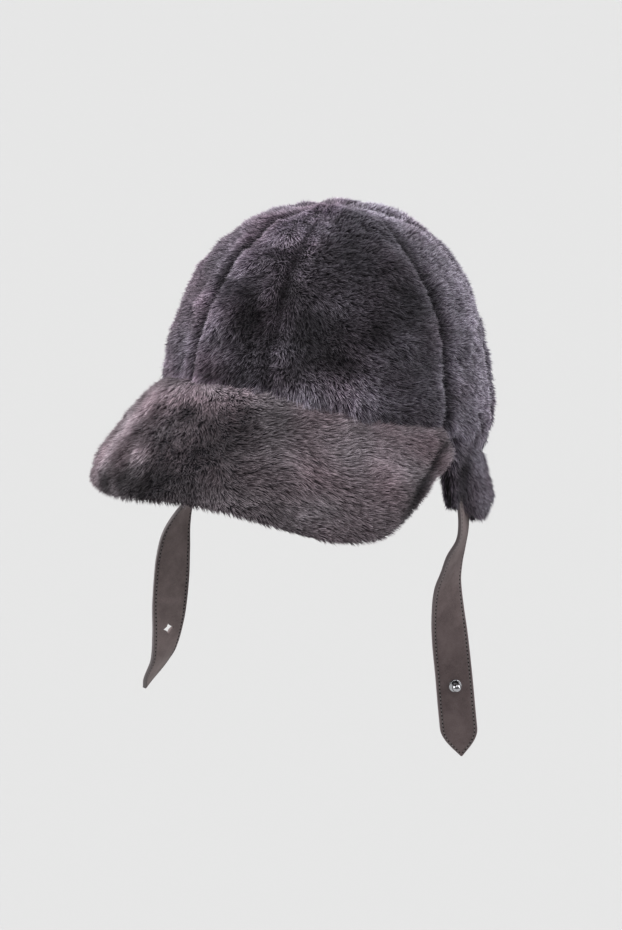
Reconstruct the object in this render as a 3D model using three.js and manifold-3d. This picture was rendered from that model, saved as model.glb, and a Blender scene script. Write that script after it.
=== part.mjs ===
import * as THREE from "three";
import { mergeVertices } from "three/addons/utils/BufferGeometryUtils.js";
import Module from "manifold-3d";

// A fur trapper cap: a domed crown sewn from seven gores, a deep drooping peak and two ear flaps,
// each made of two leaves of fur back to back, and two stitched leather chin straps.
// One strap ends in a ball stud and the other in the slit hole that takes it.
// Millimetres and degrees. +X is the wearer's left, -Y the front and +Z up.
// A bearing is an angle round the head from the front, positive towards the wearer's left.

// Outer form of the crown, over the tips of the fur. Above its widest level it is a dome,
// a little fuller than an ellipsoid, and below it a straight wall; the whole leans back.
// evenRows is how far its rows are spread evenly: the rest of their spacing crowds them at the hem.
const crown = {
  halfLength: 118,
  halfBreadth: 98.5,
  rise: 126.5,
  fullness: 2.25,
  wall: 14,
  lean: 5,
  topAngle: 89.6,
  rows: 18,
  evenRows: 0.45,
};

// Level of the crown's lower edge, above the widest level of the dome.
const hem = [
  { bearing: 0, level: 23.5 },
  { bearing: 17, level: 23 },
  { bearing: 30, level: 20 },
  { bearing: 43, level: 11 },
  { bearing: 56, level: 5 },
  { bearing: 70, level: 1 },
  { bearing: 88, level: -6 },
  { bearing: 100, level: -15 },
  { bearing: 113, level: -24 },
  { bearing: 127, level: -31 },
  { bearing: 150, level: -38 },
  { bearing: 180, level: -41 },
];

// Seams between the gores. The seam at the back closes the ring.
const gores = [
  { name: "gore_front", from: -17, to: 17, columns: 6 },
  { name: "gore_left_front", from: 17, to: 85, columns: 11 },
  { name: "gore_left_ear", from: 85, to: 120, columns: 7 },
  { name: "gore_left_back", from: 120, to: 180, columns: 10 },
  { name: "gore_right_front", from: -85, to: -17, columns: 11 },
  { name: "gore_right_ear", from: -120, to: -85, columns: 7 },
  { name: "gore_right_back", from: -180, to: -120, columns: 10 },
];

// How the fur sinks towards a sewn edge: the depth lost there and the width that it takes.
const seam = { depth: 5, reach: 11, gap: 0.36 };
const hemRoll = { depth: 7, reach: 12 };

// The fur lies in locks: strips that run aslant, a little thicker than the fur between them.
// Their relief varies by a share, on a wave that turns by so many radians at each column and each row.
// fringe is how far the locks reach past the fur between them at a free edge, as a share of a leaf.
const locks = { relief: 1.5, varied: 0.3, columnTurn: 2.3, rowTurn: 1.1, fringe: 0.022 };

// Soft dents in the crown, each a round hollow at a bearing and a level; a depth under zero swells.
const dents = [
  { bearing: 0, level: 126.5, radius: 17, depth: 4 },
  { bearing: 24, level: 62, radius: 26, depth: 3.5 },
  { bearing: 44, level: 30, radius: 30, depth: 3 },
  { bearing: -34, level: 66, radius: 26, depth: 3.5 },
  { bearing: 132, level: -8, radius: 32, depth: -4 },
  { bearing: -132, level: -8, radius: 32, depth: -4 },
  { bearing: 150, level: 50, radius: 30, depth: 3 },
  { bearing: -146, level: 70, radius: 28, depth: 3 },
];

// The peak, from the wearer's right ear round to the left one; its right corner hangs fuller.
// side, reach and level place its free edge; bearing is where that edge's root lies on the hem.
const peakEdge = [
  { bearing: -86, side: -97, reach: 5, level: -13 },
  { bearing: -81, side: -101, reach: 18, level: -21 },
  { bearing: -74, side: -106, reach: 38, level: -28 },
  { bearing: -65, side: -109, reach: 63, level: -35 },
  { bearing: -56, side: -109, reach: 88, level: -41 },
  { bearing: -47, side: -103, reach: 110, level: -46 },
  { bearing: -38, side: -88, reach: 126, level: -46 },
  { bearing: -27, side: -63, reach: 142, level: -41 },
  { bearing: -14, side: -33, reach: 154, level: -34 },
  { bearing: 0, side: 0, reach: 158, level: -30 },
  { bearing: 14, side: 33, reach: 153, level: -31 },
  { bearing: 27, side: 62, reach: 136, level: -37 },
  { bearing: 38, side: 85, reach: 114, level: -45 },
  { bearing: 47, side: 98, reach: 93, level: -47 },
  { bearing: 56, side: 102, reach: 74, level: -41 },
  { bearing: 65, side: 101, reach: 55, level: -35 },
  { bearing: 74, side: 99, reach: 35, level: -27 },
  { bearing: 81, side: 97, reach: 18, level: -20 },
  { bearing: 86, side: 96, reach: 5, level: -14 },
];
const peak = {
  root: { depth: 10, below: 3, out: 15, drop: 3, swell: 20 },
  upper: 9,
  under: 7.5,
  roll: 11,
  edge: 2,
  columns: 30,
  rows: 7,
};

// The left ear flap from its front corner round to the back; the right one mirrors it.
const flapEdge = [
  { bearing: 89, side: 96, reach: 5, level: -58 },
  { bearing: 97, side: 97, reach: -8, level: -63 },
  { bearing: 106, side: 95, reach: -24, level: -72 },
  { bearing: 114, side: 91.5, reach: -39, level: -80 },
  { bearing: 120, side: 87.5, reach: -55, level: -76 },
  { bearing: 127, side: 83, reach: -71, level: -69 },
];
const flap = {
  root: { depth: 9, below: 0.5, out: 0, drop: 10, swell: 16 },
  outer: 9,
  lining: 7,
  roll: 14,
  edge: 2,
  columns: 10,
  rows: 8,
};
const flapFold = { bearing: 98, width: 5, depth: 5 };

// Two leaves sewn back to back lie this far apart.
const leafGap = 0.3;

// The chin straps, each a stitched strip of leather that hangs from inside its flap.
// side, reach and level place the middle of the strip, and facing is its outer face's bearing.
const strap = { width: 24.5, thickness: 2.4, point: 19, tip: 1.2, columns: 4, rows: 36, pocket: 0.35 };
const leftStrap = [
  { level: -50, side: 93.5, reach: -18, facing: 100 },
  { level: -68, side: 93.4, reach: -18, facing: 109 },
  { level: -80, side: 92.4, reach: -18, facing: 107 },
  { level: -92, side: 88, reach: -18, facing: 96 },
  { level: -104, side: 84.8, reach: -18, facing: 91 },
  { level: -116, side: 82.2, reach: -18, facing: 81 },
  { level: -133, side: 82.5, reach: -18, facing: 67 },
  { level: -155, side: 84.9, reach: -18, facing: 50 },
  { level: -177, side: 87.8, reach: -18, facing: 46 },
  { level: -200, side: 90.5, reach: -18, facing: 40 },
  { level: -231.7, side: 94.6, reach: -18, facing: 38 },
];
const rightStrap = [
  { level: -56, side: -93, reach: -18, facing: -88 },
  { level: -68, side: -94.5, reach: -16, facing: -84 },
  { level: -80, side: -101.5, reach: -5, facing: -80 },
  { level: -92.5, side: -109, reach: 6, facing: -80 },
  { level: -104.5, side: -110, reach: 14.5, facing: -97 },
  { level: -121, side: -110, reach: 19, facing: -116 },
  { level: -139, side: -110, reach: 21.5, facing: -127 },
  { level: -156, side: -110, reach: 24, facing: -123 },
  { level: -174, side: -110.5, reach: 26, facing: -107 },
  { level: -192, side: -113, reach: 28, facing: -92 },
  { level: -202.5, side: -118.5, reach: 28, facing: -85 },
  { level: -214.5, side: -126.5, reach: 27, facing: -82 },
  { level: -221.5, side: -130.5, reach: 27, facing: -81 },
];

// The ball stud on the left strap. Its flanges narrow to shares of their radius at their outer faces,
// and the middle of the ball lies a share of its radius above the neck.
const stud = {
  up: 48,
  flange: 4.2,
  flangeThick: 0.9,
  backRim: 0.9,
  frontRim: 0.86,
  neck: 1.6,
  neckLength: 1.4,
  fillet: 0.3,
  ball: 2.9,
  ballSeat: 0.85,
  ballSteps: 8,
  clearance: 0.3,
  segments: 20,
};
// The cross-cut hole in the right strap that takes the ball. up is measured from a strap's tip.
const hole = { up: 47.6, points: 4, reach: 4.6, waist: 2.2 };
const throughStrap = 4 * strap.thickness;

// Points closer than this are one point.
const weld = 1e-3;

const radians = THREE.MathUtils.degToRad;
const wasm = await Module();
wasm.setup();

// Reads a column of a table at a place between its rows, with a smooth curve through them.
function read(table, key, at, column) {
  const last = table.length - 1;
  const rising = table[last][key] > table[0][key] ? 1 : -1;
  let i = 0;
  while (i < last - 1 && rising * (at - table[i + 1][key]) > 0) i += 1;
  const slope = (j) => {
    const before = table[Math.max(j - 1, 0)];
    const after = table[Math.min(j + 1, last)];
    return (after[column] - before[column]) / (after[key] - before[key]);
  };
  const step = table[i + 1][key] - table[i][key];
  const s = THREE.MathUtils.clamp((at - table[i][key]) / step, 0, 1);
  const start = (1 + 2 * s) * (1 - s) ** 2;
  const end = s * s * (3 - 2 * s);
  const leave = s * (1 - s) ** 2 * step;
  const arrive = s * s * (s - 1) * step;
  return start * table[i][column] + end * table[i + 1][column] + leave * slope(i) + arrive * slope(i + 1);
}

const hemLevel = (bearing) => read(hem, "bearing", Math.abs(bearing), "level");

// 0 at a sewn or free edge, rising on a quarter round to 1 at the reach.
const rounded = (distance, reach) => Math.sqrt(1 - (1 - Math.min(distance / reach, 1)) ** 2);

// Fur lost between two locks, which follow the grid aslant.
function lockDepth(i, j) {
  const size = 1 - locks.varied * (1 - Math.sin(locks.columnTurn * i + locks.rowTurn * j));
  return (i + j) % 2 === 0 ? 0 : locks.relief * size;
}

// Grid places from 0 to 1, closer together near both ends.
const crowded = (i, count) => 0.5 - 0.5 * Math.cos((Math.PI * i) / count);

// A closed solid between two grids of points, front and back, of the same size.
function shell(front, back, columns, rows) {
  const positions = [];
  const index = [];
  const width = columns + 1;
  const count = width * (rows + 1);
  for (const p of [...front, ...back]) positions.push(p.x, p.y, p.z);
  const quad = (a, b, c, d) => index.push(a, b, c, a, c, d);
  for (let j = 0; j < rows; j += 1) {
    for (let i = 0; i < columns; i += 1) {
      const a = j * width + i;
      quad(a, a + 1, a + width + 1, a + width);
      quad(count + a, count + a + width, count + a + width + 1, count + a + 1);
    }
  }
  for (let i = 0; i < columns; i += 1) {
    const top = rows * width + i;
    quad(i + 1, i, count + i, count + i + 1);
    quad(top, top + 1, count + top + 1, count + top);
  }
  for (let j = 0; j < rows; j += 1) {
    const left = j * width;
    const right = left + columns;
    quad(left, left + width, count + left + width, count + left);
    quad(right + width, right, count + right, count + right + width);
  }
  const geometry = new THREE.BufferGeometry();
  geometry.setAttribute("position", new THREE.Float32BufferAttribute(positions, 3));
  geometry.setIndex(index);
  return geometry;
}

// A sheet along surface(u, v), with the depths front and back to either side of it.
function sheet(surface, front, back, columns, rows, fringe = 0) {
  const grids = [[], []];
  const step = 0.004;
  for (let j = 0; j <= rows; j += 1) {
    for (let i = 0; i <= columns; i += 1) {
      const u = crowded(i, columns);
      const v = crowded(j, rows) * (1 - fringe * (i % 2));
      const across = surface(Math.min(u + step, 1), v).sub(surface(Math.max(u - step, 0), v));
      const along = surface(u, Math.min(v + step, 1)).sub(surface(u, Math.max(v - step, 0)));
      const normal = across.cross(along).normalize();
      const middle = surface(u, v);
      grids[0].push(middle.clone().addScaledVector(normal, front(u, v, i, j)));
      grids[1].push(middle.addScaledVector(normal, -back(u, v, i, j)));
    }
  }
  return shell(grids[0], grids[1], columns, rows);
}

// How the crown sits on the head: it leans back.
const worn = new THREE.Matrix4().makeRotationX(-radians(crown.lean));

// A point of the crown before it leans back, at a depth under its outer form.
function crownPoint(bearing, level, depth) {
  const t = radians(bearing);
  const up = Math.min(Math.max(level / crown.rise, 0), 1);
  const round = (1 - up ** crown.fullness) ** (1 / crown.fullness);
  return new THREE.Vector3(
    (crown.halfBreadth - depth) * round * Math.sin(t),
    -(crown.halfLength - depth) * round * Math.cos(t),
    level > 0 ? level * (1 - depth / crown.rise) : level,
  );
}

// The climb of a level: an angle up the dome, or the same scale carried on below it.
const climbOf = (level) => {
  const up = (Math.abs(level) / crown.rise) ** (crown.fullness / 2);
  return level > 0 ? THREE.MathUtils.radToDeg(Math.asin(up)) : THREE.MathUtils.radToDeg(level / crown.rise);
};
const levelOf = (climb) => {
  const up = Math.sin(radians(climb)) ** (2 / crown.fullness);
  return climb > 0 ? crown.rise * up : radians(climb) * crown.rise;
};

// Depth that the dents take from the crown at a bearing and a level.
function dentDepth(bearing, level) {
  let depth = 0;
  const here = crownPoint(bearing, level, 0);
  for (const dent of dents) {
    const far = here.distanceTo(crownPoint(dent.bearing, dent.level, 0)) / dent.radius;
    depth += dent.depth * Math.exp(-far * far);
  }
  return depth;
}

// One gore of the crown: fur that puffs between its seams and rolls under at the hem.
function goreGeometry({ from, to, columns }) {
  const grids = [[], []];
  for (let j = 0; j <= crown.rows; j += 1) {
    for (let i = 0; i <= columns; i += 1) {
      const u = crowded(i, columns);
      const even = j / crown.rows;
      const v = crown.evenRows * even + (1 - crown.evenRows) * (1 - Math.cos((Math.PI / 2) * even));
      const start = climbOf(hemLevel(from + (to - from) * u));
      const climb = start + (crown.topAngle - start) * v;
      const level = levelOf(climb);
      const round = crownPoint(90, level, 0).x;
      const trim = THREE.MathUtils.radToDeg(seam.gap / 2 / round);
      const bearing = from + trim + (to - from - 2 * trim) * u;
      const toSeam = Math.min(u, 1 - u) * radians(to - from) * round;
      const toHem = radians(climb - start) * crown.rise;
      const puff = Math.min(seam.reach, round * radians(to - from) * 0.5);
      const sunk =
        seam.depth * (1 - rounded(toSeam, puff)) +
        hemRoll.depth * (1 - rounded(toHem, hemRoll.reach)) +
        dentDepth(bearing, level) +
        (i % columns === 0 ? 0 : lockDepth(i, j));
      grids[0].push(crownPoint(bearing, level, sunk).applyMatrix4(worn));
      grids[1].push(crownPoint(bearing, level, crown.wall).applyMatrix4(worn));
    }
  }
  return shell(grids[0], grids[1], columns, crown.rows);
}

// The surface that two leaves share: it comes out under the hem and curves down to the free edge.
function leafSurface(edge, form, bearing, v) {
  const { depth, below, out, drop } = form.root;
  const root = crownPoint(bearing, hemLevel(bearing), depth).applyMatrix4(worn);
  root.z -= below;
  const outwards = crownPoint(bearing, 0, 0).setZ(0).normalize();
  const turn = root.clone().addScaledVector(outwards, out);
  turn.z -= drop;
  const free = new THREE.Vector3(
    read(edge, "bearing", bearing, "side"),
    -read(edge, "bearing", bearing, "reach"),
    read(edge, "bearing", bearing, "level"),
  );
  return new THREE.QuadraticBezierCurve3(root, turn, free).getPoint(v);
}

// Depth of a leaf, which thins to its ends and its edge, and swells more slowly from its root.
function leafDepth(form, depth, size) {
  return (u, v, i, j) => {
    const toEnd = Math.min(u, 1 - u) * size.across;
    const fromRoot = THREE.MathUtils.smoothstep(v * size.along, 0, form.root.swell);
    const swell = rounded(toEnd, form.roll) * rounded((1 - v) * size.along, form.roll) * fromRoot;
    return form.edge + (depth - form.edge - lockDepth(i, j)) * swell;
  };
}

const sewn = () => -leafGap / 2;

// The peak's two leaves, fur side up and fur side down.
const peakSize = { across: 420, along: 84 };
function peakSurface(u, v) {
  const reach = peakEdge[peakEdge.length - 1].bearing;
  return leafSurface(peakEdge, peak, (2 * u - 1) * reach, v);
}
function peakUpper() {
  const depth = leafDepth(peak, peak.upper, peakSize);
  return sheet(peakSurface, sewn, depth, peak.columns, peak.rows, locks.fringe);
}
function peakUnder() {
  const depth = leafDepth(peak, peak.under, peakSize);
  return sheet(peakSurface, depth, sewn, peak.columns, peak.rows, locks.fringe);
}

// An ear flap's two leaves. The middle of the flap folds inwards over the strap's end.
const flapSize = { across: 78, along: 45 };
function flapSurface(way) {
  const front = flapEdge[0].bearing;
  const back = flapEdge[flapEdge.length - 1].bearing;
  return (u, v) => {
    const bearing = front + (back - front) * (way > 0 ? u : 1 - u);
    const place = leafSurface(flapEdge, flap, bearing, v);
    const fold = Math.exp(-(((bearing - flapFold.bearing) / flapFold.width) ** 2));
    place.x -= flapFold.depth * fold * v * v;
    place.x *= way;
    return place;
  };
}
function flapOuter(way) {
  const depth = leafDepth(flap, flap.outer, flapSize);
  return sheet(flapSurface(way), sewn, depth, flap.columns, flap.rows, locks.fringe);
}
function flapLining(way) {
  const depth = leafDepth(flap, flap.lining, flapSize);
  return sheet(flapSurface(way), depth, sewn, flap.columns, flap.rows, locks.fringe);
}

// A place on a strap: the middle of the strip, the way across it and its outer face's normal.
function strapPlace(table, level) {
  const facing = radians(read(table, "level", level, "facing"));
  return {
    middle: new THREE.Vector3(
      read(table, "level", level, "side"),
      -read(table, "level", level, "reach"),
      level,
    ),
    normal: new THREE.Vector3(Math.sin(facing), -Math.cos(facing), 0),
    across: new THREE.Vector3(Math.cos(facing), Math.sin(facing), 0),
  };
}

// A strap, as wide as it is until its last stretch, which comes to a point on two curved sides.
function strapGeometry(table, extra) {
  const top = table[0].level;
  const tip = table[table.length - 1].level;
  const surface = (u, v) => {
    const level = top + (tip - top) * v;
    const place = strapPlace(table, level);
    const left = Math.min((level - tip) / strap.point, 1);
    const width = strap.tip + (strap.width - strap.tip) * Math.sin((left * Math.PI) / 2) + 2 * extra;
    return place.middle.addScaledVector(place.across, (u - 0.5) * width);
  };
  const depth = () => strap.thickness / 2 + extra;
  return sheet(surface, depth, depth, strap.columns, strap.rows);
}

// Turns a piece modelled along +Z so that it stands on a strap, out of its outer face.
function ontoStrap(geometry, table, up) {
  const level = table[table.length - 1].level + up;
  const { middle, across } = strapPlace(table, level);
  const rising = strapPlace(table, level + 1).middle.sub(strapPlace(table, level - 1).middle).normalize();
  const normal = new THREE.Vector3().crossVectors(across, rising).normalize();
  const upright = new THREE.Vector3().crossVectors(normal, across);
  const turn = new THREE.Matrix4().makeBasis(across, upright, normal);
  return geometry.applyMatrix4(turn.setPosition(middle));
}

// The ball stud: a flange on each face of the strap, joined through it, and the ball on its neck.
function studGeometry() {
  const half = strap.thickness / 2 + stud.clearance;
  const face = half + stud.flangeThick;
  const centre = face + stud.neckLength + stud.ball * stud.ballSeat;
  const profile = [
    new THREE.Vector2(0, -face),
    new THREE.Vector2(stud.flange * stud.backRim, -face),
    new THREE.Vector2(stud.flange, -half),
    new THREE.Vector2(stud.neck, -half),
    new THREE.Vector2(stud.neck, half),
    new THREE.Vector2(stud.flange, half),
    new THREE.Vector2(stud.flange * stud.frontRim, face),
    new THREE.Vector2(stud.neck, face + stud.fillet),
  ];
  const first = Math.asin(stud.neck / stud.ball) - Math.PI / 2;
  for (let i = 0; i <= stud.ballSteps; i += 1) {
    const angle = first + (Math.PI / 2 - first) * (i / stud.ballSteps);
    const radius = i === stud.ballSteps ? 0 : stud.ball * Math.cos(angle);
    profile.push(new THREE.Vector2(radius, centre + stud.ball * Math.sin(angle)));
  }
  return new THREE.LatheGeometry(profile, stud.segments).rotateX(Math.PI / 2);
}

// The hole: two cuts that cross, pulled open into a star with hollow sides.
function holeCutter() {
  const star = new THREE.Shape();
  for (let i = 0; i < 2 * hole.points; i += 1) {
    const angle = (Math.PI * i) / hole.points;
    const radius = i % 2 === 0 ? hole.reach : hole.waist;
    const corner = [radius * Math.cos(angle), radius * Math.sin(angle)];
    if (i === 0) star.moveTo(...corner);
    else star.lineTo(...corner);
  }
  star.closePath();
  const solid = new THREE.ExtrudeGeometry(star, { depth: throughStrap, bevelEnabled: false });
  return solid.translate(0, 0, -throughStrap / 2);
}

function solidOf(geometry) {
  const bare = geometry.clone();
  bare.deleteAttribute("normal");
  bare.deleteAttribute("uv");
  const merged = mergeVertices(bare, weld);
  const vertProperties = new Float32Array(merged.attributes.position.array);
  const triVerts = new Uint32Array(merged.index.array);
  return new wasm.Manifold(new wasm.Mesh({ numProp: 3, vertProperties, triVerts }));
}

function geometryOf(solid) {
  const { vertProperties, triVerts } = solid.getMesh();
  const geometry = new THREE.BufferGeometry();
  geometry.setAttribute("position", new THREE.BufferAttribute(vertProperties, 3));
  return geometry.setIndex(new THREE.BufferAttribute(triVerts, 1));
}

// The geometry with the others cut out of it.
const cut = (geometry, ...others) =>
  geometryOf(others.reduce((left, other) => left.subtract(solidOf(other)), solidOf(geometry)));

const fur = new THREE.MeshStandardMaterial({ color: 0x4b454e, roughness: 0.95 });
const peakFur = new THREE.MeshStandardMaterial({ color: 0x5f565b, roughness: 0.95 });
const leather = new THREE.MeshStandardMaterial({ color: 0x5a504f, roughness: 0.8 });
const steel = new THREE.MeshStandardMaterial({ color: 0xc9c6c7, roughness: 0.2, metalness: 1 });

const cap = new THREE.Group();
function add(name, geometry, material) {
  const mesh = new THREE.Mesh(geometry, material);
  mesh.name = name;
  cap.add(mesh);
}

for (const gore of gores) add(gore.name, goreGeometry(gore), fur);
add("peak_upper", peakUpper(), peakFur);
add("peak_under", peakUnder(), peakFur);
for (const { side, way, table } of [
  { side: "left", way: 1, table: leftStrap },
  { side: "right", way: -1, table: rightStrap },
]) {
  const pocket = strapGeometry(table, strap.pocket);
  add("ear_flap_" + side + "_outer", cut(flapOuter(way), pocket), fur);
  add("ear_flap_" + side + "_lining", cut(flapLining(way), pocket), fur);
}
const bore = stud.neck + stud.clearance;
const shank = new THREE.CylinderGeometry(bore, bore, throughStrap, stud.segments).rotateX(Math.PI / 2);
add("strap_left", cut(strapGeometry(leftStrap, 0), ontoStrap(shank, leftStrap, stud.up)), leather);
add("strap_right", cut(strapGeometry(rightStrap, 0), ontoStrap(holeCutter(), rightStrap, hole.up)), leather);
add("ball_stud", ontoStrap(studGeometry(), leftStrap, stud.up), steel);

// The origin is the inside of the crown's top, where the head meets it.
const seat = crownPoint(0, crown.rise, crown.wall).applyMatrix4(worn);
cap.position.copy(seat).negate();

export default cap;
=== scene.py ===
"""Dresses a fur trapper cap: seven pelts of plush fur, a deep peak, two ear flaps and two chin straps.

Millimetres and degrees in the tables, metres in the meshes. +X is the wearer's left, -Y the front, +Z up.
A bearing is an angle round the head from the front, positive towards the wearer's left.
"""

from __future__ import annotations

import logging
import math
from collections.abc import Sequence
from dataclasses import dataclass, field
from enum import Enum

import bmesh
import bpy
import numpy as np
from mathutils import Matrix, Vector, noise

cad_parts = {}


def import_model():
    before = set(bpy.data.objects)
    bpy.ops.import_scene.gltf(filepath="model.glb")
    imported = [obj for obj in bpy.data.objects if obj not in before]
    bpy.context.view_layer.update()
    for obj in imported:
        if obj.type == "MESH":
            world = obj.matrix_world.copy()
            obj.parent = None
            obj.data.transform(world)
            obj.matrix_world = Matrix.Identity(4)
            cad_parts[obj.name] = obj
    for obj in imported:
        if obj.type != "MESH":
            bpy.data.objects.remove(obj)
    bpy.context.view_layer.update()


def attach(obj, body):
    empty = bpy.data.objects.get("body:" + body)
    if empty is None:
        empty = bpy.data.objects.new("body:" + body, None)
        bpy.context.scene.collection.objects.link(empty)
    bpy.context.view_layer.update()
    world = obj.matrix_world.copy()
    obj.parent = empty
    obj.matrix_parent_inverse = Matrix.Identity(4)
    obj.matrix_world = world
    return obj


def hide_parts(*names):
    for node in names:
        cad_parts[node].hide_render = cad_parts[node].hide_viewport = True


LOG = logging.getLogger("trapper_cap")
MM = 0.001
BODY = "root"
# The map that the pieces of fur carry, laid out by tone and height in the pile.
FUR_MAP = "OFBake"
# What is taken from the crown's own frame to stand the inside of the crown's top at the origin.
SEAT = np.array([0.0, 9.805, 112.07])
# The palest tone that fur takes, against 1 for its usual tone.
PALEST = 2.6
# The steepest that fur stands, in radians from its hide.
STEEPEST = 1.45

Links = dict[int | str, object]
Table = Sequence[Sequence[float]]
Stop = tuple[float, str]
Tree = bpy.types.NodeTree
Socket = bpy.types.NodeSocket
Material = bpy.types.Material
Object = bpy.types.Object


class Side(Enum):
    """A side of the wearer, with the sign of its X."""

    LEFT = 1
    RIGHT = -1


class Face(Enum):
    """Which way the fur of a leaf looks, with the sign of its normal."""

    OUT = -1
    IN = 1


def wire(node: bpy.types.Node, links: Links) -> None:
    """Links or sets inputs of a node.

    Args:
        node: The node.
        links: What goes in each input, by index or name: a socket to link, or a value to set.
    """
    for key, value in links.items():
        if isinstance(key, int):
            socket = node.inputs[key]
        else:
            socket = next(s for s in node.inputs if s.name == key and s.enabled)
        if isinstance(value, Socket):
            node.id_data.links.new(value, socket)
        else:
            socket.default_value = value


def add_node(tree: Tree, kind: str, links: Links | None = None, **settings: object) -> bpy.types.Node:
    """Adds one node.

    Args:
        tree: The tree that takes it.
        kind: Blender's name of the node's class.
        links: What goes in its inputs, as wire takes it.
        settings: Properties of the node, set before its inputs.

    Returns:
        The node.
    """
    node = tree.nodes.new(kind)
    for name, value in settings.items():
        setattr(node, name, value)
    wire(node, links or {})
    return node


def out(node: bpy.types.Node, name: str = "") -> Socket:
    """Returns a node's output in use, the first or the one of that name."""
    return next(s for s in node.outputs if s.enabled and name in ("", s.name))


def linear(colour: str) -> tuple[float, float, float, float]:
    """Turns an sRGB hex colour to linear light.

    Args:
        colour: Such as "#5f565b".

    Returns:
        Red, green, blue and an alpha of 1.
    """
    parts = [int(colour[i : i + 2], 16) / 255 for i in (1, 3, 5)]
    red, green, blue = (p / 12.92 if p <= 0.04045 else ((p + 0.055) / 1.055) ** 2.4 for p in parts)
    return red, green, blue, 1.0


def add_ramp(tree: Tree, factor: Socket, ends: Sequence[Stop], *between: Stop) -> Socket:
    """Adds a ramp of colours.

    Args:
        tree: The tree that takes it.
        factor: What is looked up in the ramp.
        ends: The place and colour of its two ends.
        between: The place and colour of each stop between them.

    Returns:
        The colour.
    """
    made = add_node(tree, "ShaderNodeValToRGB", {0: factor})
    stops = made.color_ramp.elements
    for k, (place, colour) in enumerate(ends):
        stops[k].position = place
        stops[k].color = linear(colour)
    for place, colour in between:
        stops.new(place).color = linear(colour)
    return out(made)


def add_noise(tree: Tree, size: float, detail: float, roughness: float = 0.5) -> Socket:
    """Returns noise through the object, with patches of a size in mm."""
    place = out(add_node(tree, "ShaderNodeTexCoord"), "Object")
    links = {"Vector": place, "Scale": 1 / (size * MM), "Detail": detail, "Roughness": roughness}
    return out(add_node(tree, "ShaderNodeTexNoise", links), "Fac")


def add_range(tree: Tree, value: Socket, low: float, high: float) -> Socket:
    """Returns a value from 0 to 1 spread between two others."""
    return out(add_node(tree, "ShaderNodeMapRange", {"Value": value, "To Min": low, "To Max": high}))


def attribute(tree: Tree, name: str) -> Socket:
    """Returns a number that the mesh carries, for a material."""
    return out(add_node(tree, "ShaderNodeAttribute", attribute_name=name), "Fac")


def new_finish(name: str) -> tuple[Material, Tree, bpy.types.Node]:
    """Returns a new material, its tree and its shader."""
    made = bpy.data.materials.new(name)
    made.use_nodes = True
    return made, made.node_tree, made.node_tree.nodes["Principled BSDF"]


def read(table: Table, at: float, column: int) -> float:
    """Reads a column of a table at a place between its rows, with a smooth curve through them.

    Args:
        table: Rows of numbers, the first column rising or falling.
        at: The place in the first column.
        column: The column to read.

    Returns:
        The value there.
    """
    last = len(table) - 1
    rising = 1 if table[last][0] > table[0][0] else -1
    i = 0
    while i < last - 1 and rising * (at - table[i + 1][0]) > 0:
        i += 1

    def slope(j: int) -> float:
        """Returns the curve's slope at row j."""
        before, after = table[max(j - 1, 0)], table[min(j + 1, last)]
        return (after[column] - before[column]) / (after[0] - before[0])

    step = table[i + 1][0] - table[i][0]
    s = min(max((at - table[i][0]) / step, 0.0), 1.0)
    start, end = (1 + 2 * s) * (1 - s) ** 2, s * s * (3 - 2 * s)
    leave, arrive = s * (1 - s) ** 2 * step, s * s * (s - 1) * step
    held = start * table[i][column] + end * table[i + 1][column]
    return held + leave * slope(i) + arrive * slope(i + 1)


def rounded(distance: float, reach: float) -> float:
    """Returns 0 at an edge, rising on a quarter round to 1 at the reach."""
    return math.sqrt(1 - (1 - min(max(distance / reach, 0.0), 1.0)) ** 2)


def smooth(x: float) -> float:
    """Returns an even rise from 0 to 1 while x goes from 0 to 1."""
    s = min(max(x, 0.0), 1.0)
    return s * s * (3 - 2 * s)


def coming(at: float, amount: float, start: float, span: float) -> float:
    """Returns what has come of an amount that comes in evenly over a span from its start."""
    return amount * smooth((at - start) / span)


def hill(at: float, middle: float, width: float) -> float:
    """Returns 1 at the middle of a round hill, falling to nothing on both sides."""
    return math.exp(-(((at - middle) / width) ** 2))


def drift(place: np.ndarray, *parts: tuple[float, float, float]) -> float:
    """Adds up smooth noises.

    Args:
        place: A point, in mm.
        parts: Of each noise its strength, how wide its patches are in mm, and what sets its pattern apart.

    Returns:
        The sum there.
    """
    total = 0.0
    for strength, size, offset in parts:
        shift = Vector((offset, 2.7 * offset, -1.9 * offset))
        total += strength * noise.noise(Vector(place / size) + shift)
    return total


@dataclass(frozen=True)
class FurFinish:
    """Plucked and dyed rabbit fur: soft, matt, darker down in the pile and paler at the tips, by its dye and
    by painted light on the tips.
    """

    name: str
    root: str
    middle: str
    tip: str
    warm: str
    hidden: float = 0.5

    def material(self) -> Material:
        """Builds the material, whose colour is read from each hair's tone and the height up it.

        Returns:
            The material.
        """
        made, tree, shader = new_finish(self.name)
        height = attribute(tree, "height")
        # Dark at the root to pale at the tip: the dye, with painted light on the tips.
        pile = add_ramp(tree, height, ((0, self.root), (1, self.tip)), (self.hidden, self.middle))
        dyes = {"Factor": attribute(tree, "warmth"), "A": pile, "B": linear(self.warm)}
        tinted = add_node(tree, "ShaderNodeMix", dyes, data_type="RGBA", blend_type="MULTIPLY")
        toned = {"Value": attribute(tree, "tone"), "Color": out(tinted)}
        surface = {
            "Base Color": out(add_node(tree, "ShaderNodeHueSaturation", toned)),
            "Roughness": add_range(tree, height, 0.9, 0.62),
            "Specular IOR Level": 0.25,
            "Sheen Weight": 0.35,
            "Sheen Roughness": 0.4,
            "Sheen Tint": linear("#e6e0ea"),
        }
        wire(shader, surface)
        return made


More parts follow.
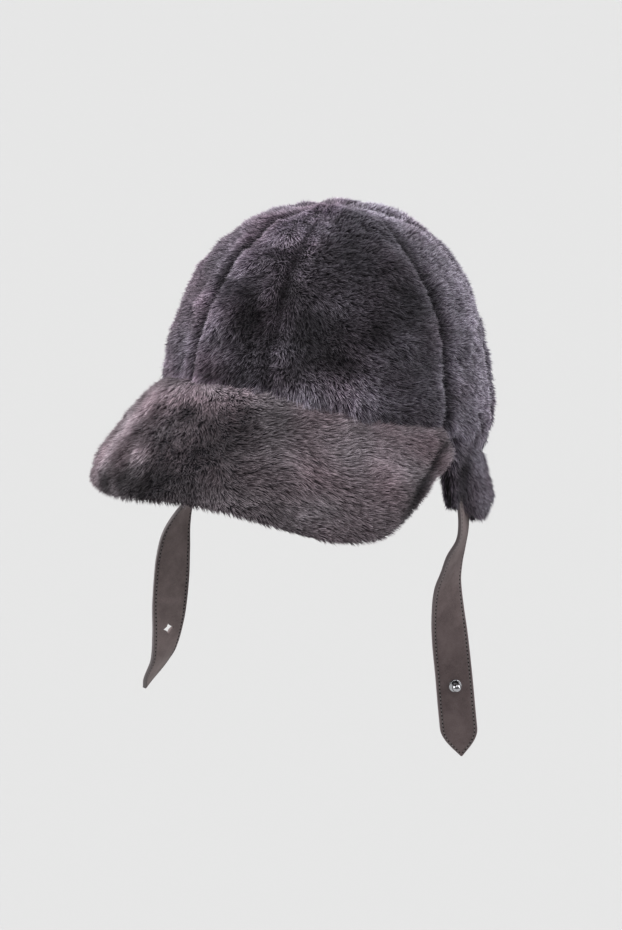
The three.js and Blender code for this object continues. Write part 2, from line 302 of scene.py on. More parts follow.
@dataclass(frozen=True)
class SuedeFinish:
    """Buffed leather: a short velvety nap with soft cloudy shading and no gloss."""

    name: str
    deep: str
    pale: str
    cloud: float = 14.0
    nap: float = 0.55
    relief: float = 0.12
    edge: str = "#3f3a40"

    def material(self) -> Material:
        """Builds the material: clouds where the nap lies over, a fine grain in the relief, and the edge
        colour on the edges and in the stitched groove, which is dye with painted light and shade.

        Returns:
            The material.
        """
        made, tree, shader = new_finish(self.name)
        grain = add_noise(tree, self.nap, 3.0)
        parts = {"Factor": 0.35, "A": add_noise(tree, self.cloud, 5.0, 0.62), "B": grain}
        both = out(add_node(tree, "ShaderNodeMix", parts, data_type="FLOAT"))
        clouds = add_ramp(tree, both, ((0.32, self.deep), (0.68, self.pale)))
        # The edge colour: dye, with painted light and shade on the edges and in the stitched groove.
        dyes = {"Factor": attribute(tree, "edge"), "A": clouds, "B": linear(self.edge)}
        bump = {"Strength": 0.5, "Distance": self.relief * MM, "Height": grain}
        surface = {
            "Base Color": out(add_node(tree, "ShaderNodeMix", dyes, data_type="RGBA")),
            "Roughness": add_range(tree, both, 0.95, 0.72),
            "Normal": out(add_node(tree, "ShaderNodeBump", bump)),
            "Specular IOR Level": 0.25,
            "Sheen Weight": 0.1,
            "Sheen Roughness": 0.5,
        }
        wire(shader, surface)
        return made


@dataclass(frozen=True)
class ThreadFinish:
    """Waxed polyester thread: smooth twisted yarn with a low gloss."""

    name: str
    colour: str
    shade: str
    lay: float = 0.35

    def material(self) -> Material:
        """Builds the material, with the twist of the yarn as fine bands of painted shade.

        Returns:
            The material.
        """
        made, tree, shader = new_finish(self.name)
        place = out(add_node(tree, "ShaderNodeTexCoord"), "Object")
        bands = {"Vector": place, "Scale": 1 / (3 * self.lay * MM), "Distortion": 1.0}
        twist = out(add_node(tree, "ShaderNodeTexWave", bands, bands_direction="DIAGONAL"), "Fac")
        yarn = add_ramp(tree, twist, ((0, self.shade), (1, self.colour)))
        wire(shader, {"Base Color": yarn, "Roughness": 0.5})
        return made


@dataclass(frozen=True)
class PlatedFinish:
    """Nickel plated brass, pressed and barrel polished: bright, with hairline rubs."""

    name: str
    colour: str
    rub: float = 1.2

    def material(self) -> Material:
        """Builds the material, with rubs in its roughness.

        Returns:
            The material.
        """
        made, tree, shader = new_finish(self.name)
        gloss = add_range(tree, add_noise(tree, self.rub, 4.0), 0.08, 0.3)
        wire(shader, {"Roughness": gloss, "Base Color": linear(self.colour), "Metallic": 1.0})
        return made


@dataclass(frozen=True)
class PaperFinish:
    """Seamless background paper: plain, matt and pale."""

    name: str
    colour: str

    def material(self) -> Material:
        """Builds the material.

        Returns:
            The material.
        """
        made, _, shader = new_finish(self.name)
        wire(shader, {"Base Color": linear(self.colour), "Roughness": 0.95, "Specular IOR Level": 0.1})
        return made


def new_piece(name: str, mesh: bpy.types.Mesh) -> Object:
    """Puts a mesh in the scene as an object at the origin and returns the object."""
    piece = bpy.data.objects.new(name, mesh)
    bpy.context.scene.collection.objects.link(piece)
    return piece


def closed_mesh(name: str, points: Table, faces: list) -> bpy.types.Mesh:
    """Makes a closed mesh that is shaded smooth and faces outwards.

    Args:
        name: Its name.
        points: Its points, in mm.
        faces: The numbers of each face's points.

    Returns:
        The mesh.
    """
    mesh = bpy.data.meshes.new(name)
    mesh.from_pydata((np.asarray(points) * MM).tolist(), [], faces)
    shaped = bmesh.new()
    shaped.from_mesh(mesh)
    bmesh.ops.recalc_face_normals(shaped, faces=shaped.faces)
    shaped.to_mesh(mesh)
    shaped.free()
    mesh.polygons.foreach_set("use_smooth", [True] * len(mesh.polygons))
    return mesh


def store(mesh: bpy.types.Mesh, name: str, values: np.ndarray) -> None:
    """Stores a number or a vector for each point of a mesh."""
    kind, key = ("FLOAT", "value") if values.ndim == 1 else ("FLOAT_VECTOR", "vector")
    mesh.attributes.new(name, kind, "POINT").data.foreach_set(key, values.astype(np.float32).ravel())


def fetch(items: bpy.types.bpy_prop_collection, name: str, kind: type, width: int = 1) -> np.ndarray:
    """Returns a property of all the items of a mesh, as many numbers to each as its width."""
    found = np.empty(width * len(items), kind)
    items.foreach_get(name, found)
    return found


def baked(piece: Object) -> None:
    """Turns what a piece's modifiers make into its own plain mesh, and removes the modifiers.

    Args:
        piece: The object, which keeps its name.
    """
    graph = bpy.context.evaluated_depsgraph_get()
    graph.update()
    made = bpy.data.meshes.new_from_object(piece.evaluated_get(graph))
    old = piece.data
    piece.modifiers.clear()
    piece.data = made
    made.name = piece.name
    bpy.data.meshes.remove(old)


def new_tree(name: str, inputs: dict[str, str], result: str) -> tuple[Tree, bpy.types.NodeOutputs]:
    """Starts a tree of geometry nodes.

    Args:
        name: Its name.
        inputs: The kind of each input, by the input's name.
        result: The name of the geometry that comes out.

    Returns:
        The tree and the sockets that its inputs come from.
    """
    tree = bpy.data.node_groups.new(name, "GeometryNodeTree")
    for label, kind in inputs.items():
        tree.interface.new_socket(label, in_out="INPUT", socket_type="NodeSocket" + kind)
    tree.interface.new_socket(result, in_out="OUTPUT", socket_type="NodeSocketGeometry")
    return tree, tree.nodes.new("NodeGroupInput").outputs


def run_tree(piece: Object, tree: Tree, values: dict[str, object]) -> None:
    """Runs a tree on a piece, which ends as a plain mesh.

    Args:
        piece: The object.
        tree: The tree.
        values: What goes in the tree's inputs, by name.
    """
    made = piece.modifiers.new(tree.name, "NODES")
    made.node_group = tree
    for socket in tree.interface.items_tree:
        if socket.name in values:
            made[socket.identifier] = values[socket.name]
    baked(piece)


def stand_for(piece: Object, node: str) -> None:
    """Puts a finished piece in place of a CAD node.

    Args:
        piece: The object.
        node: The node's name.
    """
    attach(piece, BODY)
    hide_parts(node)
    LOG.info("%s: %d faces", piece.name, len(piece.data.polygons))


@dataclass
class Pelt:
    """One pelt: a closed sheet between two grids of points, with how the fur grows on the first.

    The growth is the rise, length, tone and warmth of the fur at each point.
    """

    name: str
    outer: np.ndarray
    inner: np.ndarray
    comb: np.ndarray
    growth: dict[str, np.ndarray]

    def hide(self) -> Object:
        """Makes the hide, the sheet that the fur grows on, with its growth as attributes.

        Returns:
            The object.
        """
        rows, columns = self.outer.shape[:2]
        count = rows * columns
        at = np.arange(count).reshape(rows, columns)
        a, b, c, d = at[:-1, :-1], at[:-1, 1:], at[1:, 1:], at[1:, :-1]
        front = np.stack([a, b, c, d], -1).reshape(-1, 4)
        back = np.stack([a, d, c, b], -1).reshape(-1, 4) + count
        rims = []
        for edge in (at[0, ::-1], at[:, 0], at[-1, :], at[::-1, -1]):
            near, far = edge[:-1], edge[1:]
            rims.append(np.stack([near, far, far + count, near + count], -1))
        points = np.concatenate([self.outer.reshape(-1, 3), self.inner.reshape(-1, 3)])
        mesh = closed_mesh(self.name, points, np.concatenate([front, back, *rims]).tolist())
        for key, values in self.growth.items():
            store(mesh, key, np.tile(values.ravel(), 2))
        # Fur grows on the outer grid alone.
        store(mesh, "pile", np.repeat([1.0, 0.0], count))
        store(mesh, "comb", np.tile(self.comb.reshape(-1, 3), (2, 1)))
        # The outer grid takes the left half of the hide's map and the inner one the right half.
        u, v = np.meshgrid(np.linspace(0, 1, columns), np.linspace(0, 1, rows))
        places = np.stack([0.5 * u, v, 0 * u], -1).reshape(-1, 3)
        store(mesh, "place", np.concatenate([places, places + (0.5, 0, 0)]))
        return new_piece(self.name, mesh)


@dataclass
class Pile:
    """The fur itself: fine tapered hairs scattered over a hide, combed and lying in small locks."""

    fur: Material
    hide: Material
    width: float = 0.62
    # Hairs per square centimetre at which a hair has that width; thinner growth has wider hairs.
    usual: float = 150.0
    frizz: float = 0.17
    lock: float = 5.0
    lock_pull: float = 0.26
    tuft: float = 3.2
    tufted: float = 0.28
    shortest: float = 0.7
    longest: float = 1.08
    speckle: float = 0.4
    uneven_lean: float = 0.16
    tuft_rise: float = 0.6
    # Noise keeps near its middle, so it is spread out this many times.
    noise_spread: float = 4.0
    tree: Tree = field(init=False)

    def __post_init__(self) -> None:
        """Builds the tree of nodes once for all the pelts."""
        self.tree = self.grow_tree()

    def grow_tree(self) -> Tree:
        """Builds the tree that grows the hairs.

        Returns:
            The tree, with named inputs for its sizes.
        """
        sizes = ("Hairs per square metre", "Hair width", "Frizz", "Lock size", "Lock pull", "Shortest hair")
        sizes += ("Longest hair", "Speckle", "Tuft size", "Tufted")
        inputs = {"Hide": "Geometry", **dict.fromkeys(sizes, "Float"), "Seed": "Int", "Fur": "Material"}
        tree, given = new_tree("fur_pile", inputs, "Pelt")

        def named(name: str, kind: str = "FLOAT") -> Socket:
            """Returns the attribute of that name."""
            return out(add_node(tree, "GeometryNodeInputNamedAttribute", {"Name": name}, data_type=kind))

        def maths(operation: str, *terms: object) -> Socket:
            """Returns a sum or product of numbers."""
            return out(add_node(tree, "ShaderNodeMath", dict(enumerate(terms)), operation=operation))

        def vectors(operation: str, first: object, second: object) -> Socket:
            """Returns a sum or product of vectors."""
            links = {0: first, "Scale" if operation == "SCALE" else 1: second}
            return out(add_node(tree, "ShaderNodeVectorMath", links, operation=operation))

        def chance(kind: str, low: object, high: object, step: int) -> Socket:
            """Returns a random value for each hair."""
            links = {"Min": low, "Max": high, "Seed": maths("ADD", given["Seed"], step)}
            return out(add_node(tree, "FunctionNodeRandomValue", links, data_type=kind))

        position = out(add_node(tree, "GeometryNodeInputPosition"))

        def clumps(size: str, result: str) -> Socket:
            """Returns noise along the hide, with patches as wide as the input of that name."""
            links = {"Vector": position, "Scale": maths("DIVIDE", 1.0, given[size]), "Detail": 1.0}
            return out(add_node(tree, "ShaderNodeTexNoise", links), result)

        def stored(geometry: Socket, name: str, value: Socket, domain: str) -> Socket:
            """Returns the geometry with a number stored on it."""
            links = {"Geometry": geometry, "Name": name, "Value": value}
            kind = {"data_type": "FLOAT", "domain": domain}
            return out(add_node(tree, "GeometryNodeStoreNamedAttribute", links, **kind))

        density = maths("MULTIPLY", given["Hairs per square metre"], named("pile"))
        links = {"Mesh": given["Hide"], "Density": density, "Seed": given["Seed"]}
        roots = add_node(tree, "GeometryNodeDistributePointsOnFaces", links, distribute_method="RANDOM")
        # Each hair leans along the comb by its rise, pulled together with its neighbours into locks.
        lean = maths("ADD", named("rise"), chance("FLOAT", -self.uneven_lean, self.uneven_lean, 1))
        along = vectors("SCALE", named("comb", "FLOAT_VECTOR"), maths("COSINE", lean))
        upright = vectors("SCALE", out(roots, "Normal"), maths("SINE", lean))
        centred = vectors("SUBTRACT", clumps("Lock size", "Color"), (0.5, 0.5, 0.5))
        pulled = vectors("SCALE", centred, maths("MULTIPLY", given["Lock pull"], self.noise_spread))
        loose = chance("FLOAT_VECTOR", (-1.0, -1.0, -1.0), (1.0, 1.0, 1.0), 2)
        combed = vectors("ADD", vectors("ADD", along, upright), pulled)
        direction = vectors("ADD", combed, vectors("SCALE", loose, given["Frizz"]))
        aimed = add_node(tree, "FunctionNodeAlignRotationToVector", {"Vector": direction}, axis="Z")
        spin = {"Axis": (0.0, 0.0, 1.0), "Angle": chance("FLOAT", 0.0, 2 * math.pi, 3)}
        spun = out(add_node(tree, "FunctionNodeAxisAngleToRotation", spin))
        links = {"Rotation": out(aimed), "Rotate By": spun}
        turned = out(add_node(tree, "FunctionNodeRotateRotation", links, rotation_space="LOCAL"))
        # Small tufts stand proud between shorter hairs, with painted light on the tufts and painted shade
        # between them.
        tufts = maths("SUBTRACT", clumps("Tuft size", "Fac"), 0.5)
        swing = maths("MULTIPLY", tufts, maths("MULTIPLY", given["Tufted"], self.noise_spread))
        usual = chance("FLOAT", given["Shortest hair"], given["Longest hair"], 4)
        share = maths("MULTIPLY", usual, maths("ADD", 1.0, maths("MULTIPLY", swing, self.tuft_rise)))
        tall = maths("MULTIPLY", named("length"), share)
        wide = given["Hair width"]
        size = out(add_node(tree, "ShaderNodeCombineXYZ", {"X": wide, "Y": wide, "Z": tall}))
        # A hair is a three-sided spike of four faces, one unit tall, which keeps a deep pile light.
        form = {"Vertices": 3, "Side Segments": 1, "Radius Top": 0.0, "Radius Bottom": 0.5, "Depth": 1.0}
        spike = out(add_node(tree, "GeometryNodeMeshCone", form, fill_type="NGON"), "Mesh")
        up = out(add_node(tree, "ShaderNodeSeparateXYZ", {0: position}), "Z")
        hair = stored(spike, "height", up, "POINT")
        links = {"Points": out(roots), "Instance": hair, "Rotation": turned, "Scale": size}
        hairs = out(add_node(tree, "GeometryNodeInstanceOnPoints", links))
        # A hair's tone: painted light and shade from the tufts, and a random spread.
        spread = chance("FLOAT", maths("MULTIPLY", given["Speckle"], -1.0), given["Speckle"], 5)
        tone = maths("MULTIPLY", named("tone"), maths("ADD", maths("ADD", 1.0, swing), spread))
        links = {"Geometry": stored(hairs, "tone", tone, "INSTANCE"), "Material": given["Fur"]}
        furred = out(add_node(tree, "GeometryNodeSetMaterial", links))
        joined = add_node(tree, "GeometryNodeJoinGeometry", {0: given["Hide"]})
        wire(joined, {0: furred})
        plain = out(add_node(tree, "GeometryNodeRealizeInstances", {"Geometry": out(joined)}))
        index = {"A": out(add_node(tree, "GeometryNodeInputMaterialIndex")), "B": 1}
        is_hair = out(add_node(tree, "FunctionNodeCompare", index, data_type="INT", operation="EQUAL"))
        links = {"Geometry": plain, "Selection": is_hair, "Material": given["Fur"]}
        add_node(tree, "NodeGroupOutput", {0: out(add_node(tree, "GeometryNodeSetMaterial", links))})
        return tree

    def dress(self, pelt: Pelt, node: str, seed: int, density: float) -> None:
        """Makes a furred pelt in place of a node.

        Args:
            pelt: The pelt.
            node: The node's name.
            seed: Sets one pelt's hairs apart from another's.
            density: Hairs per square centimetre.
        """
        piece = pelt.hide()
        piece.data.materials.append(self.hide)
        values = {
            "Hairs per square metre": density * 1e4,
            "Hair width": self.width * MM * math.sqrt(self.usual / density),
            "Frizz": self.frizz,
            "Lock size": self.lock * MM,
            "Lock pull": self.lock_pull,
            "Shortest hair": self.shortest,
            "Longest hair": self.longest,
            "Speckle": self.speckle,
            "Tuft size": self.tuft * MM,
            "Tufted": self.tufted,
            "Seed": seed,
            "Fur": self.fur,
        }
        run_tree(piece, self.tree, values)
        lay_out(piece.data)
        stand_for(piece, node)


def lay_out(mesh: bpy.types.Mesh) -> None:
    """Lays out the fur's map: hairs by warmth, tone and height, and the hide on the strip above them.

    Args:
        mesh: A pelt with its hairs, whose first material is the hide's.
    """
    bands, lowest, highest = 6, 0.1, 2.9
    margin, foot_half, foot_rise = 0.07, 0.05, 0.01
    hair_foot, hair_height = 0.01, 0.69
    hide_size, hide_corner = (0.98, 0.26), (0.01, 0.73)
    corner = fetch(mesh.loops, "vertex_index", np.int32)
    slot = fetch(mesh.polygons, "material_index", np.int32)
    sides = fetch(mesh.polygons, "loop_total", np.int32)
    carried = {key: mesh.attributes[key].data for key in ("height", "tone", "warmth")}
    height, tone, warmth = (fetch(data, "value", np.float32)[corner] for data in carried.values())
    place = fetch(mesh.attributes["place"].data, "vector", np.float32, 3)
    uv = place.reshape(-1, 3)[corner][:, :2] * hide_size + hide_corner
    across = np.clip((tone - lowest) / (highest - lowest), 0, 1) * (1 - 2 * margin) + margin
    band = np.clip(np.floor(warmth * bands), 0, bands - 1)
    # A hair's foot spans a little of the map, so that no face on it is without width.
    start = np.cumsum(sides) - sides
    within = np.arange(len(corner)) - np.repeat(start, sides)
    foot = np.array([-foot_half, foot_half, 0.0])[within % 3] * (height < 0.5)
    flat = np.repeat(np.add.reduceat(height, start) < 0.5, sides)
    hair = np.stack([(band + across + foot) / bands, hair_foot + hair_height * height], 1)
    hair[:, 1] += flat * np.array([0.0, 0.0, foot_rise])[within % 3]
    is_hair = np.repeat(slot == 1, sides)
    uv[is_hair] = hair[is_hair]
    layer = mesh.uv_layers.new(name=FUR_MAP, do_init=False)
    layer.uv.foreach_set("vector", uv.astype(np.float32).ravel())
    for name in ("comb", "rise", "length", "pile", "place"):
        mesh.attributes.remove(mesh.attributes[name])


@dataclass(frozen=True)
class Patch:
    """A round patch of painted light and shade, where the fur may also stand up, lie down or swirl: its
    place, its width and its change.

    The tone is in stops of painted light and shade: 1 is twice as pale, and stands a little proud, and -1 is
    half as pale, in a hollow.
    """

    bearing: float
    level: float
    radius: float
    tone: float = 0.0
    rise: float = 0.0
    swirl: float = 0.0


def patches(*rows: tuple[float, ...]) -> tuple[Patch, ...]:
    """Returns the patches of rows: bearing, level, radius, tone, and where it changes the rise and swirl."""
    return tuple(Patch(*row) for row in rows)


def patched(spots: Sequence[Patch], middles: Sequence[np.ndarray], here: np.ndarray) -> np.ndarray:
    """Adds up what patches change at a place.

    Args:
        spots: The patches.
        middles: The middle of each.
        here: The place.

    Returns:
        The changes in tone, rise and swirl.
    """
    change = np.zeros(3)
    for patch, middle in zip(spots, middles, strict=True):
        share = math.exp(-float(np.sum((here - middle) ** 2)) / patch.radius**2)
        change += share * np.array([patch.tone, patch.rise, patch.swirl])
    return change


@dataclass
class Crown:
    """The crown: seven gores of plush fur that puff between their seams and meet at the top."""

    half_length: float = 118.0
    half_breadth: float = 98.5
    height: float = 126.5
    fullness: float = 2.25
    wall: float = 14.0
    lean: float = 5.0
    top_angle: float = 89.6
    seam_depth: float = 4.6
    seam_reach: float = 8.0
    seam_gap: float = 0.36
    hem_reach: float = 12.0
    hair: float = 5.8
    bed: float = 2.9
    thinnest: float = 1.4
    lump: float = 2.0
    hollow: float = 1.5
    rows: int = 56
    column: float = 2.2
    # The share of the climb that rows take evenly; the rest of them crowd towards the hem.
    even_climb: float = 0.45
    # Painted light beside a seam, where the fur piles up: by how many stops, how far from the seam and how
    # wide.
    ridge_painted_light: tuple = (0.5, 8, 3.5)
    # Painted shade in a seam: by how many stops at the foot, and the amount, start and span of what the side
    # adds and the top takes off again. Then how wide the line of painted shade is, and how much painted
    # shade a crease takes, in stops for each mm.
    seam_painted_shade: float = 0.9
    side_adds: tuple = (0.6, 50, 50)
    top_takes: tuple = (1.1, 108, 14)
    seam_width: float = 2.5
    crease_painted_shade: float = 0.4
    # How far the fur at the hem hangs over, and what that adds to a hair's length or takes off the rest.
    hung_reach: float = 15.0
    hung_straight: float = 0.8
    hung_flat: float = 0.5
    hung_long: float = 0.6
    # How far from the lower edge the painted light on the fur there starts to fade, and over what span.
    hung_painted_light: tuple = (1, 7)
    flattest: float = 0.3
    # A hair's share of its length at a seam, what the rest comes in over, and the painted light that pales
    # the top.
    seam_hair: float = 0.64
    seam_hair_reach: float = 9.0
    top_painted_light: tuple = (0.35, 92, 30)
    # The fur is cooler on the wearer's left: its usual warmth, what a side changes, and the bearing between.
    warm: tuple = (0.45, 0.4, 20)
    # Uneven growth: strength, width of its patches and what sets its pattern apart, of each noise.
    lumps: tuple = ((1, 15, 21), (1.2, 34, 22))
    crease_drift: tuple = (1.25, 20, 23)
    # How far into its sine a crease starts and ends, as a share of half a turn.
    crease_end: float = 0.1
    swirl_drift: tuple = ((45, 40, 1), (30, 16, 2))
    rise_drift: tuple = ((0.24, 26, 3), (0.24, 10, 4))
    tone_drift: tuple = ((0.6, 28, 5), (0.7, 9, 6))
    warmth_drift: tuple = (0.7, 26, 7)
    # At a bearing: how deep the fur rolls in at the lower edge, how far it hangs over what is below, and how
    # much painted light pales it there, in stops.
    hem_roll: tuple = (
        (-180, 7, 0, 0), (-136, 7, 0, 0), (-124, 3, 0.8, 0.4), (-90, 3, 0.8, 0.4), (-66, 2, 1.5, 0.9),
        (-45, 2, 1.2, 1.2), (-20, 2, 0.9, 2.2), (12, 2, 0.9, 2.2), (28, 2, 0.9, 1.2), (48, 1.5, 1, 1.0),
        (64, 5, 0.3, 0.5), (82, 6, 0.1, 0), (90, 3, 0.7, 0.2), (124, 3, 0.8, 0.3), (136, 7, 0, 0),
        (180, 7, 0, 0),
    )  # fmt: skip
    # Bearing and level of the lower edge.
    hem: tuple = (
        (0, 23.5), (17, 23), (30, 20), (43, 11), (56, 5), (70, 1), (88, -6), (100, -15), (113, -24),
        (127, -31), (150, -38), (180, -41),
    )  # fmt: skip
    # Each gore: its name, the bearings of its seams and its hairs per square centimetre.
    gores: tuple = (
        ("front", -17, 17, 166),
        ("left_front", 17, 85, 162),
        ("left_ear", 85, 120, 156),
        ("left_back", 120, 180, 96),
        ("right_front", -85, -17, 138),
        ("right_ear", -120, -85, 104),
        ("right_back", -180, -120, 93),
    )
    # Creases across the fur: bearing and level of both ends, width and depth.
    creases: tuple = (
        (67, 72, 100, 66, 3.2, 3.4), (79, 92, 92, 90, 2.4, 2.2), (82, 58, 98, 54, 2.4, 2.2),
        (80, 44, 94, 40, 2.6, 1.8), (12, 46, 26, 38, 3.0, 2.4), (34, 52, 58, 38, 3.4, 2.2),
        (-14, 62, -40, 84, 4.0, 2.2), (-10, 48, -34, 66, 4.0, 1.8), (2, 84, 12, 60, 5.0, 2.6),
        (104, 8, 112, -18, 3.0, 2.6), (150, 40, 170, 60, 4.0, 2.0), (-100, 50, -112, 20, 4.0, 2.2),
    )  # fmt: skip
    # Dents: bearing, level, radius and depth.
    dents: tuple = (
        (0, 126.5, 17, 4), (24, 62, 26, 3.5), (44, 30, 30, 3), (-34, 66, 26, 3.5), (132, -8, 32, -4),
        (-132, -8, 32, -4), (150, 50, 30, 3), (-146, 70, 28, 3),
    )  # fmt: skip
    # Which way the fur is combed at a bearing: degrees from straight down, towards the wearer's left.
    # Then how far it stands up, in radians, and its tone, which paints light and shade: darker towards the
    # front, paler at the sides.
    combing: tuple = (
        (-180, -20, 0.55, 1.0), (-110, -60, 0.5, 1.1), (-60, -60, 0.5, 1.2), (-25, -50, 0.55, 1.2),
        (5, 10, 0.8, 0.85), (40, 35, 0.85, 0.62), (72, 60, 0.7, 0.68), (88, 85, 0.5, 1.25),
        (108, 80, 0.48, 1.5), (140, 45, 0.55, 1.1), (180, 20, 0.55, 1.0),
    )  # fmt: skip
    # Patches of painted light and shade, which also raise or sink the fur; some also change its rise and
    # swirl.
    spots: tuple = patches(
        (5, 70, 11, -1.8, 0.4), (-10, 80, 7, -0.6), (14, 55, 9, -0.8, 0.3), (19, 83, 6, -0.7),
        (34, 62, 16, -1.0, 0.2), (26, 66, 9, -0.8), (29, 43, 9, -0.8), (40, 49, 10, -1.1, 0.2),
        (46, 105, 16, -0.8), (61, 95, 14, -0.5), (73, 86, 10, -0.8), (76, 77, 14, -0.7), (56, 63, 10, -1.2),
        (27, 54, 14, -0.6), (27, 74, 7, -0.9), (67, 56, 9, 0.6), (-6, 31, 8, -0.9), (10, 31, 8, -0.9),
        (-26, 70, 8, 0.8), (6, 93, 6, -0.8), (13, 98, 7, 1.0), (7, 72, 6, -1.1, 0.2), (5, 57, 8, -1.0, 0.2),
        (18, 53, 5, 1.1), (44, 42, 8, -0.9, 0.2), (70, 84, 10, -0.4), (88, 107, 16, -1.1), (47, 20, 10, 1.2),
        (-22, 85, 7, -0.5), (-21, 97, 6, -0.4), (-50, 32, 10, -0.4), (3, 33, 7, -0.9), (21, 34, 6, -0.5),
        (4, 113, 12, 2.1, -0.4), (6, 123, 12, 1.0, -0.3), (-5, 98, 9, 1.5, -0.2), (22, 108, 6, 0.9),
        (22, 97, 5, 0.7), (16, 114, 8, 1.4, -0.2), (20, 121, 8, 1.2), (20, 125.5, 10, 1.8),
        (-4, 85, 8, -0.6), (-20, 76, 9, 0.8), (-12, 63, 9, 1.6), (-3, 68, 6, 0.4), (12, 83, 6, 0.6),
        (17, 70, 6, 1.1), (18, 47, 6, 0.8), (46, 77, 9, 0.2), (67, 66, 7, -0.8), (54, 43, 8, 1.1, 0, 30),
        (0, 46, 13, 0.1, 0, -30), (-16, 28, 14, 0.2, 0.25, 15), (64, 22, 18, 0.2, -0.25, 30),
        (20, 42, 4, 0.8, 0, -90), (30, 26, 9, 0.9, 0, -40), (41, 27, 14, 1.8), (54, 24, 11, 1.2),
        (102, 54, 18, 0.9), (108, 10, 22, 0.9),
    )  # fmt: skip

    def point(self, bearing: float, level: float, depth: float) -> np.ndarray:
        """Returns a point of the crown before it leans back, at a depth under its outer form."""
        t = math.radians(bearing)
        up = min(max(level / self.height, 0.0), 1.0)
        across = (1 - up**self.fullness) ** (1 / self.fullness)
        side = (self.half_breadth - depth) * across * math.sin(t)
        ahead = (self.half_length - depth) * across * math.cos(t)
        return np.array([side, -ahead, level * (1 - depth / self.height) if level > 0 else level])

    def worn(self, place: np.ndarray) -> np.ndarray:
        """Returns a point as the crown leans back on the head."""
        t = math.radians(-self.lean)
        x, y, z = place
        return np.array([x, y * math.cos(t) - z * math.sin(t), y * math.sin(t) + z * math.cos(t)])

    def hem_level(self, bearing: float) -> float:
        """Returns the level of the lower edge at a bearing."""
        return read(self.hem, abs(bearing), 1)

    def climb_of(self, level: float) -> float:
        """Returns the climb of a level: an angle up the dome, or the same scale carried on below it."""
        if level <= 0:
            return math.degrees(level / self.height)
        return math.degrees(math.asin((level / self.height) ** (self.fullness / 2)))

    def level_of(self, climb: float) -> float:
        """Returns the level at a climb."""
        if climb <= 0:
            return math.radians(climb) * self.height
        return self.height * math.sin(math.radians(climb)) ** (2 / self.fullness)

    def dent_depth(self, here: np.ndarray) -> float:
        """Returns how deep the dents are at a place."""
        depth = self.lump * drift(here, *self.lumps)
        for bearing, level, radius, deep in self.dents:
            depth += deep * hill(float(np.linalg.norm(here - self.point(bearing, level, 0))), 0, radius)
        return depth

    def crease_depth(self, here: np.ndarray) -> float:
        """Returns how deep the creases are at a place."""
        depth = 0.0
        for start, low, end, high, width, deep in self.creases:
            first, last = self.point(start, low, 0), self.point(end, high, 0)
            run = last - first
            along = float(np.clip((here - first) @ run / (run @ run), 0, 1))
            # The crease wanders a little up and down, and runs out at both ends.
            wander = width * drift(here, self.crease_drift)
            way = here - first - along * run + np.array([0, 0, wander])
            runs_out = math.sin(math.pi * (self.crease_end + (1 - 2 * self.crease_end) * along))
            depth += deep * math.exp(-float(way @ way) / width**2) * runs_out
        return depth

    def gore(self, name: str, start: float, end: float) -> Pelt:
        """Shapes one gore and says how its fur grows.

        Args:
            name: The name of the pelt.
            start: The bearing of its first seam.
            end: The bearing of its last seam.

        Returns:
            The pelt.
        """
        columns = round((end - start) / self.column) + 1
        shape = (self.rows + 1, columns + 1)
        outer, inner = np.empty((*shape, 3)), np.empty((*shape, 3))
        growth = {key: np.empty(shape) for key in ("rise", "length", "tone", "warmth", "swirl")}
        middles = [self.point(patch.bearing, patch.level, 0) for patch in self.spots]
        for j, i in np.ndindex(shape):
            u = 0.5 - 0.5 * math.cos(math.pi * i / columns)
            v = j / self.rows
            foot = self.climb_of(self.hem_level(start + (end - start) * u))
            crowded = (1 - self.even_climb) * (1 - math.cos(math.pi * v / 2))
            climb = foot + (self.top_angle - foot) * (self.even_climb * v + crowded)
            level = self.level_of(climb)
            across = self.point(90, level, 0)[0]
            trim = math.degrees(self.seam_gap / 2 / across)
            bearing = start + trim + (end - start - 2 * trim) * u
            span = math.radians(end - start) * across
            to_seam = min(u, 1 - u) * span
            to_hem = math.radians(climb - foot) * self.height
            here = self.point(bearing, level, 0)
            crease = self.crease_depth(here)
            change = patched(self.spots, middles, here)
            sunk = self.seam_depth * (1 - rounded(to_seam, min(self.seam_reach, span / 2)))
            sunk += read(self.hem_roll, bearing, 1) * (1 - rounded(to_hem, self.hem_reach))
            sunk += self.dent_depth(here) + crease - self.hollow * change[0] + self.bed
            outer[j, i] = self.worn(self.point(bearing, level, min(sunk, self.wall - self.thinnest)))
            inner[j, i] = self.worn(self.point(bearing, level, self.wall))
            # Painted shade darkens the fur in a seam and a crease, and painted light pales it where it piles
            # up beside a seam.
            seam_shade = self.seam_painted_shade + coming(level, *self.side_adds) - coming(level, *self.top_takes)
            proud, middle, wide = self.ridge_painted_light
            change[0] += proud * hill(to_seam, middle, wide) - seam_shade * hill(to_seam, 0, self.seam_width)
            change[0] -= self.crease_painted_shade * crease
            grown = self.growth_at(here, (bearing, level), (to_seam, to_hem), change)
            for key, value in grown.items():
                growth[key][j, i] = value
        around, upward = np.gradient(outer, axis=1), np.gradient(outer, axis=0)
        around /= np.linalg.norm(around, axis=2, keepdims=True)
        upward /= np.linalg.norm(upward, axis=2, keepdims=True)
        swirl = np.radians(growth.pop("swirl"))[..., None]
        comb = np.sin(swirl) * around - np.cos(swirl) * upward
        return Pelt(name, outer - SEAT, inner - SEAT, comb, growth)

    def growth_at(
        self, here: np.ndarray, at: tuple[float, float], edges: tuple[float, float], change: np.ndarray
    ) -> dict[str, float]:
        """Says how the fur grows at one place.

        Args:
            here: The place, on the crown's outer form.
            at: Its bearing and level.
            edges: How far it is from the nearest seam and from the lower edge.
            change: What changes its tone, in stops, its rise and its swirl.

        Returns:
            The swirl, rise, length, tone and warmth of the fur there.
        """
        (bearing, level), (to_seam, to_hem) = at, edges
